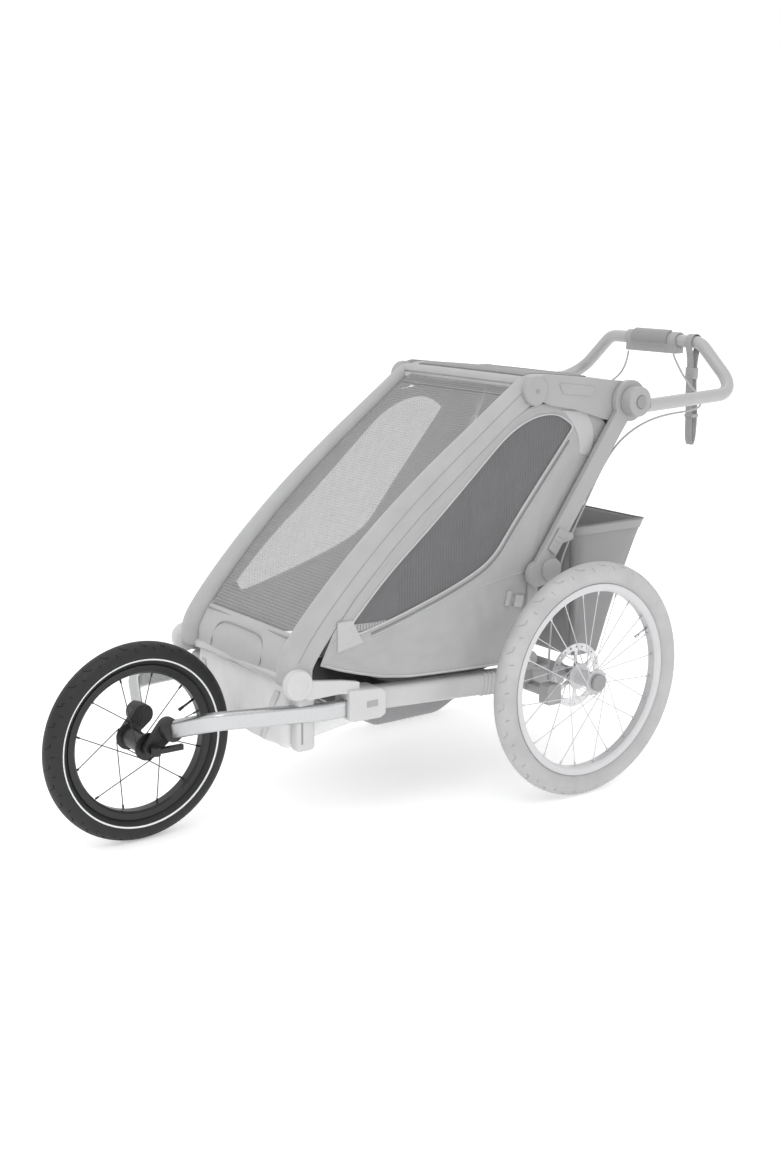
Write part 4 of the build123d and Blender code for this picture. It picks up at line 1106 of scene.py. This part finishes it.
class TRAILER_OT_seat(bpy.types.Operator):
    """Make the padded sling seat and its harness"""

    bl_idname = "trailer.seat"
    bl_label = "Seat and harness"

    def execute(self, context):
        settings = context.scene.trailer_fabric
        cloth = woven("seat_cloth", (0.20, 0.20, 0.205))
        pad_cloth = woven("harness_pad", (0.13, 0.13, 0.135))
        tape = webbing("harness_webbing", (0.10, 0.10, 0.105))
        plastic = moulded("harness_buckle", (0.05, 0.05, 0.052))
        line = Route([at(-356, 0, 246), at(-338, 0, 278), at(-170, 0, 264), at(-140, 0, 278),
                      at(-60, 0, 450), at(12, 0, 646)], 3)

        def sling(u, v):
            side = 2 * u - 1
            spot, way = line.at(v), line.way(v)
            out = Vector((-way.z, 0, way.x))
            channels = 1.0 - 0.55 * sum(bump_at(v, mark, 0.012) for mark in (0.30, 0.46, 0.62, 0.78, 0.92))
            seams = 1.0 - 0.5 * (bump_at(abs(side), 0.62, 0.03))
            puff = 7.0 * channels * seams * (1 - side**8)
            hollow = 9 * (1 - side**2) * sin(pi * min(1, v * 1.05))
            clear_of_rail = min(1.0, max(0.0, (spot.z - 0.315) / 0.05))
            half = 0.176 + 0.030 * clear_of_rail
            return Vector((spot.x, side * half, spot.z)) + out * (puff - hollow) / 1000

        def settle(piece, slot, *nodes):
            """Ties the piece to the frame and gives it its own mesh."""
            fix(piece, "frame", slot, *nodes)
            return fold_down(piece)

        piece = skin("seat_pad", sling, 60, 110, 0.35, line.length, cloth, 0.006)
        settle(piece, "fabric", "seat_sling")

        wall_line = Route([at(-34, 0, 486), at(40, 0, 600), at(128, 0, 730), at(158, 0, 800),
                           at(150, 0, 838)], 3)

        def rear_wall(u, v):
            spot = wall_line.at(v)
            side = 2 * u - 1
            slack = 6 * (1 - side**4) * sin(pi * v) + 1.2 * noise.noise((u * 6, v * 6, 9))
            return Vector((spot.x + slack / 1000, side * 0.2105, spot.z))

        wall = skin("rear_wall", rear_wall, 40, 40, 0.42, wall_line.length, cloth, settings.cloth_thickness)
        fix(wall, "rear_frame", "fabric")

        def tape_on_seat(u_line, v_line, width, lift=0.010):
            def place(u, v):
                across = u_line[0] + (u_line[1] - u_line[0]) * v
                up = v_line[0] + (v_line[1] - v_line[0]) * v
                way = line.way(up)
                out = Vector((-way.z, 0, way.x))
                run = abs(u_line[1] - u_line[0]) < 0.2
                shift = (u - 0.5) * width
                base = sling(across + (shift / 0.352 if run else 0), up + (0 if run else shift / line.length))
                return base + out * lift

            return place

        for side, sign in SIDES:
            place = tape_on_seat((0.5 + sign * 0.06, 0.5 + sign * 0.17), (0.56, 0.90), 0.024)
            settle(skin(f"shoulder_strap_{side}", place, 4, 40, 0.024, 0.2, tape, 0.0016), "webbing",
                   "seat_harness")
            place = tape_on_seat((0.5 + sign * 0.075, 0.5 + sign * 0.14), (0.62, 0.82), 0.044, 0.013)
            pad = skin(f"shoulder_pad_{side}", place, 8, 24, 0.044, 0.1, pad_cloth, 0.006)
            settle(pad, "fabric")
            place = tape_on_seat((0.5 + sign * 0.05, 0.5 + sign * 0.44), (0.54, 0.49), 0.024)
            settle(skin(f"waist_strap_{side}", place, 4, 30, 0.024, 0.15, tape, 0.0016), "webbing")
        place = tape_on_seat((0.5, 0.5), (0.30, 0.52), 0.028, 0.012)
        settle(skin("crotch_strap", place, 4, 24, 0.028, 0.13, tape, 0.0016), "webbing")
        spot = sling(0.5, 0.545) + Vector((-0.018, 0, 0.008))
        lean = Matrix.Rotation(radians(-22), 3, "Y")
        settle(block("harness_buckle", spot, (0.012, 0.046, 0.052), plastic, 0.004, lean), "fabric")
        spot = spot + Vector((-0.007, 0, 0.002))
        settle(disc_facing("buckle_button", spot, 0.012, 0.005, plastic), "fabric")
        return {"FINISHED"}


def disc_facing(name, centre, radius, depth, material):
    """Round button that faces forward."""
    bm = bmesh.new()
    bmesh.ops.create_cone(bm, cap_ends=True, segments=32, radius1=radius, radius2=radius * 0.9, depth=depth)
    bmesh.ops.rotate(bm, cent=(0, 0, 0), matrix=Matrix.Rotation(-pi / 2, 3, "Y"), verts=bm.verts)
    bmesh.ops.translate(bm, vec=centre, verts=bm.verts)
    return place_mesh(bm, name, material)


# ---------------------------------------------------------------- cargo bag


class TRAILER_OT_bag(bpy.types.Operator):
    """Make the open cargo bag with its rim band and seams"""

    bl_idname = "trailer.bag"
    bl_label = "Cargo bag"

    def execute(self, context):
        settings = context.scene.trailer_fabric
        cloth = woven("bag_cloth", settings.bag)
        rim_cloth = woven("bag_rim_cloth", [part * 1.15 for part in settings.bag])
        piping = rubber("bag_piping", [part * 0.7 for part in settings.bag])

        def around(u, share, grow=0.0):
            """Point round the bag: a rounded rectangle that widens from its foot to its rim."""
            front, rear = 120 - 24 * share, 206 + 124 * share
            half = 138 + 12 * share
            middle_x, reach = (front + rear) / 2, (rear - front) / 2
            turn = tau * u
            power = 0.22
            c, s = cos(turn), sin(turn)
            x = middle_x + (reach + grow) * abs(c) ** power * (1 if c > 0 else -1)
            y = (half + grow) * abs(s) ** power * (1 if s > 0 else -1)
            return x, y

        def shell(u, v):
            slack = -5 * sin(pi * v) * (0.6 + 0.8 * noise.noise((cos(tau * u) * 2, sin(tau * u) * 2, v * 3)))
            folds = 2.2 * sin(tau * u * 9 + v * 4) * (1 - v) * v * 4 * 0.5
            x, y = around(u, v, slack + folds - 2)
            droop = 7 * bump_at(u, 0.0, 0.16) * v**6 + 7 * bump_at(u, 1.0, 0.16) * v**6
            return at(x, y, 236 + 293 * v - droop)

        def settle(piece, *nodes):
            """Ties the piece to the frame and gives it its own mesh."""
            fix(piece, "frame", "fabric", *nodes)
            return fold_down(piece)

        piece = skin("bag_shell", shell, 120, 50, 1.0, 0.32, cloth, settings.cloth_thickness, closed=True)
        settle(piece, "cargo_bag")

        def base(u, v):
            x, y = around(u, 0, -7)
            return at(163 + (x - 163) * v, y * v, 235 + 1.5 * v)

        settle(skin("bag_base", base, 80, 10, 0.8, 0.15, cloth, settings.cloth_thickness, closed=True))

        def rim(u, v):
            spot = shell(u, 0.93 + 0.07 * v)
            out = Vector((spot.x - at(213, 0, 0).x, spot.y, 0)).normalized()
            return spot + out * 0.0022 + Vector((0, 0, 0.001))

        settle(skin("bag_rim", rim, 120, 5, 1.0, 0.022, rim_cloth, 0.002, closed=True))
        hem = [rim(step / 80, 1.0) for step in range(80)]
        settle(tube("bag_hem", hem, 0.0022, piping, 8, closed=True))
        for name, u in (("corner_1", 0.115), ("corner_2", 0.385), ("corner_3", 0.615), ("corner_4", 0.885)):
            seam = [shell(u, step / 16) for step in range(16)]
            settle(tube(f"bag_seam_{name}", seam, 0.0016, piping, 6))
        return {"FINISHED"}


# ---------------------------------------------------------------- cables and wrist strap

ALONG_FRAME = [
    (352, -226, 771), (290, -227, 769), (236, -227, 761), (186, -225, 743), (142, -220, 712),
    (104, -218.6, 664), (66, -218.6, 600), (31, -218.6, 543), (4, -218.6, 492), (-12, -219, 436),
    (-22, -222, 380), (-34, -230, 326), (-50, -246, 282), (-62, -258, 244),
]
NEAR_POD = {
    "left": [(466, -70, 877), (455, -98, 850), (440, -140, 822), (424, -190, 796), (404, -218, 776)],
    "right": [(466, 70, 877), (465, 74, 842), (452, 98, 806), (430, 142, 786), (404, 195, 776)],
}
CABLE_R = 0.0022
CABLE_SPLIT = 10


class TRAILER_OT_cables(bpy.types.Operator):
    """Make both brake cables, from the pod on the bar to the calipers"""

    bl_idname = "trailer.cables"
    bl_label = "Brake cables"

    def execute(self, context):
        sheath = rubber("cable_sheath", (0.42, 0.42, 0.425), 0.5)
        for side, sign in SIDES:
            route = NEAR_POD[side] + [(x, -sign * y, z) for x, y, z in ALONG_FRAME]
            points = [at(*point) for point in route]
            joint = (points[CABLE_SPLIT] + points[CABLE_SPLIT - 1]) / 2
            parts = (
                ("upper", points[:CABLE_SPLIT] + [joint], "rear_frame", "handlebar",
                 at(120, 0, 690), at(300, 0, 775)),
                ("lower", [joint] + points[CABLE_SPLIT:], "frame", "rear_frame",
                 at(-20, 0, 400), at(30, 0, 545)),
            )
            for name, line, low_body, high_body, start, end in parts:
                piece = tube(f"brake_cable_{name}_{side}", line, CABLE_R, sheath, 10)
                path = centre_line(line)
                length = sum((second - first).length for first, second in zip(path, path[1:]))
                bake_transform(piece)
                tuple(start)
                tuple(end)
                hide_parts(f"brake_cable_{side}")
                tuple(path[0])
        return {"FINISHED"}


class TRAILER_OT_wrist_strap(bpy.types.Operator):
    """Make the wrist strap that hangs from the push bar"""

    bl_idname = "trailer.wrist_strap"
    bl_label = "Wrist strap"

    def execute(self, context):
        tape = webbing("wrist_webbing", (0.36, 0.36, 0.365))
        plastic = moulded("wrist_buckle", (0.36, 0.36, 0.365))
        low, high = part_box("wrist_strap")
        y, half = (low.y + high.y) / 2, (high.y - low.y) / 2
        grip = at(477, 0, 908)
        foot_x, foot_z = at(483, 0, 0).x, low.z
        bar = 0.0172
        front = [grip + Vector((bar * cos(turn), 0, bar * sin(turn))) for turn in
                 [radians(angle) for angle in range(190, -20, -15)]]
        line = [Vector((foot_x - 0.001, 0, foot_z + 0.004)), Vector((foot_x - 0.0075, 0, foot_z + 0.018)),
                Vector((foot_x - 0.0075, 0, 0.76)), Vector((grip.x - 0.006, 0, 0.80)),
                Vector((grip.x - 0.004, 0, 0.868))] + front
        line += [Vector((grip.x + 0.004, 0, 0.868)), Vector((grip.x + 0.006, 0, 0.80)),
                 Vector((foot_x + 0.0085, 0, 0.76)), Vector((foot_x + 0.0085, 0, foot_z + 0.018)),
                 Vector((foot_x + 0.001, 0, foot_z + 0.004))]
        loop = Route(line, 3)

        def place(u, v):
            spot = loop.at(v)
            sway = 0.0012 * sin(v * 7)
            return Vector((spot.x, y + (u - 0.5) * 1.84 * half + sway, spot.z))

        piece = skin("wrist_strap_loop", place, 6, 160, 0.02, loop.length, tape, 0.0016, closed=True)
        fix(piece, "handlebar", "webbing", "wrist_strap")
        mouldings = (("buckle", 0.838, (0.016, 0.026, 0.026)), ("keeper", 0.742, (0.0215, 0.025, 0.008)))
        for name, z, size in mouldings:
            spot = Vector((grip.x if z > 0.8 else foot_x, y, z))
            fix(block(f"wrist_{name}", spot, size, plastic, 0.0024), "handlebar", "webbing")
        return {"FINISHED"}


# ---------------------------------------------------------------- stage

EYE = at(-2167.45, -2510.08, 1162.96)
EYE_TURN = 34.76
EYE_TIP = 13.229
LENS = 47.09
SHIFT = 0.0483
FLOOR_GLOW = 0.33
LIGHTS = (
    ("key", (-1.8, -1.6, 3.4), 1.6, 20),
    ("rim", (2.6, 1.8, 2.8), 2.0, 8),
    ("top", (0, 0, 3.6), 2.6, 6),
)


class TRAILER_OT_stage(bpy.types.Operator):
    """Make the plain floor, the studio light and the camera"""

    bl_idname = "trailer.stage"
    bl_label = "Stage"

    def execute(self, context):
        scene = context.scene
        bm = bmesh.new()
        bmesh.ops.create_grid(bm, x_segments=1, y_segments=1, size=30)
        floor_finish = Finish("studio_floor", (0.93, 0.93, 0.93), 0.9)
        floor_finish.shader.inputs["Emission Color"].default_value = (1, 1, 1, 1)
        floor_finish.shader.inputs["Emission Strength"].default_value = FLOOR_GLOW
        floor = place_mesh(bm, "floor", floor_finish.material)

        world = bpy.data.worlds.new("studio")
        scene.world = world
        world.use_nodes = True
        world.node_tree.nodes["Background"].inputs["Color"].default_value = (1, 1, 1, 1)
        world.node_tree.nodes["Background"].inputs["Strength"].default_value = 1.0
        for name, place, size, power in LIGHTS:
            lamp = bpy.data.lights.new(name, "AREA")
            lamp.size = size
            lamp.energy = power
            holder = bpy.data.objects.new(name, lamp)
            holder.location = place
            holder.rotation_mode = "QUATERNION"
            holder.rotation_quaternion = (Vector((0, 0, 0.45)) - Vector(place)).to_track_quat("-Z", "Y")
            scene.collection.objects.link(holder)

        eye = bpy.data.cameras.new("view")
        eye.sensor_width = 36
        eye.lens = LENS
        eye.shift_x = SHIFT
        holder = bpy.data.objects.new("view", eye)
        holder.location = EYE
        turn, tip = radians(EYE_TURN), radians(EYE_TIP)
        look = Vector((sin(turn) * cos(tip), cos(turn) * cos(tip), -sin(tip)))
        holder.rotation_mode = "QUATERNION"
        holder.rotation_quaternion = look.to_track_quat("-Z", "Y")
        scene.collection.objects.link(holder)
        scene.camera = holder
        scene.view_settings.view_transform = "Standard"
        return {"FINISHED"}


class TRAILER_PT_panel(bpy.types.Panel):
    """The trailer's sizes, colours and pieces."""

    bl_label = "Child trailer"
    bl_space_type = "VIEW_3D"
    bl_region_type = "UI"
    bl_category = "Trailer"

    def draw(self, context):
        for _, group_name in GROUPS:
            group = getattr(context.scene, group_name)
            for name in group.bl_rna.properties.keys():
                if name not in ("rna_type", "name"):
                    self.layout.prop(group, name)
        for operator in PIECES:
            self.layout.operator(operator.bl_idname)


PIECES = (
    TRAILER_OT_wheels, TRAILER_OT_hardware, TRAILER_OT_front_cover, TRAILER_OT_side_panels,
    TRAILER_OT_roof, TRAILER_OT_tub, TRAILER_OT_seat, TRAILER_OT_bag, TRAILER_OT_cables,
    TRAILER_OT_wrist_strap, TRAILER_OT_stage,
)
GROUPS = (
    (FabricSettings, "trailer_fabric"),
    (WheelSettings, "trailer_wheels"),
    (HardwareSettings, "trailer_hardware"),
)


def register():
    for group, name in GROUPS:
        bpy.utils.register_class(group)
        setattr(bpy.types.Scene, name, bpy.props.PointerProperty(type=group))
    for operator in PIECES:
        bpy.utils.register_class(operator)
    bpy.utils.register_class(TRAILER_PT_panel)


def unregister():
    bpy.utils.unregister_class(TRAILER_PT_panel)
    for operator in reversed(PIECES):
        bpy.utils.unregister_class(operator)
    for group, name in reversed(GROUPS):
        delattr(bpy.types.Scene, name)
        bpy.utils.unregister_class(group)


def main():
    register()
    for operator in PIECES:
        group, name = operator.bl_idname.split(".")
        getattr(getattr(bpy.ops, group), name)()


if __name__ == "__main__":
    main()
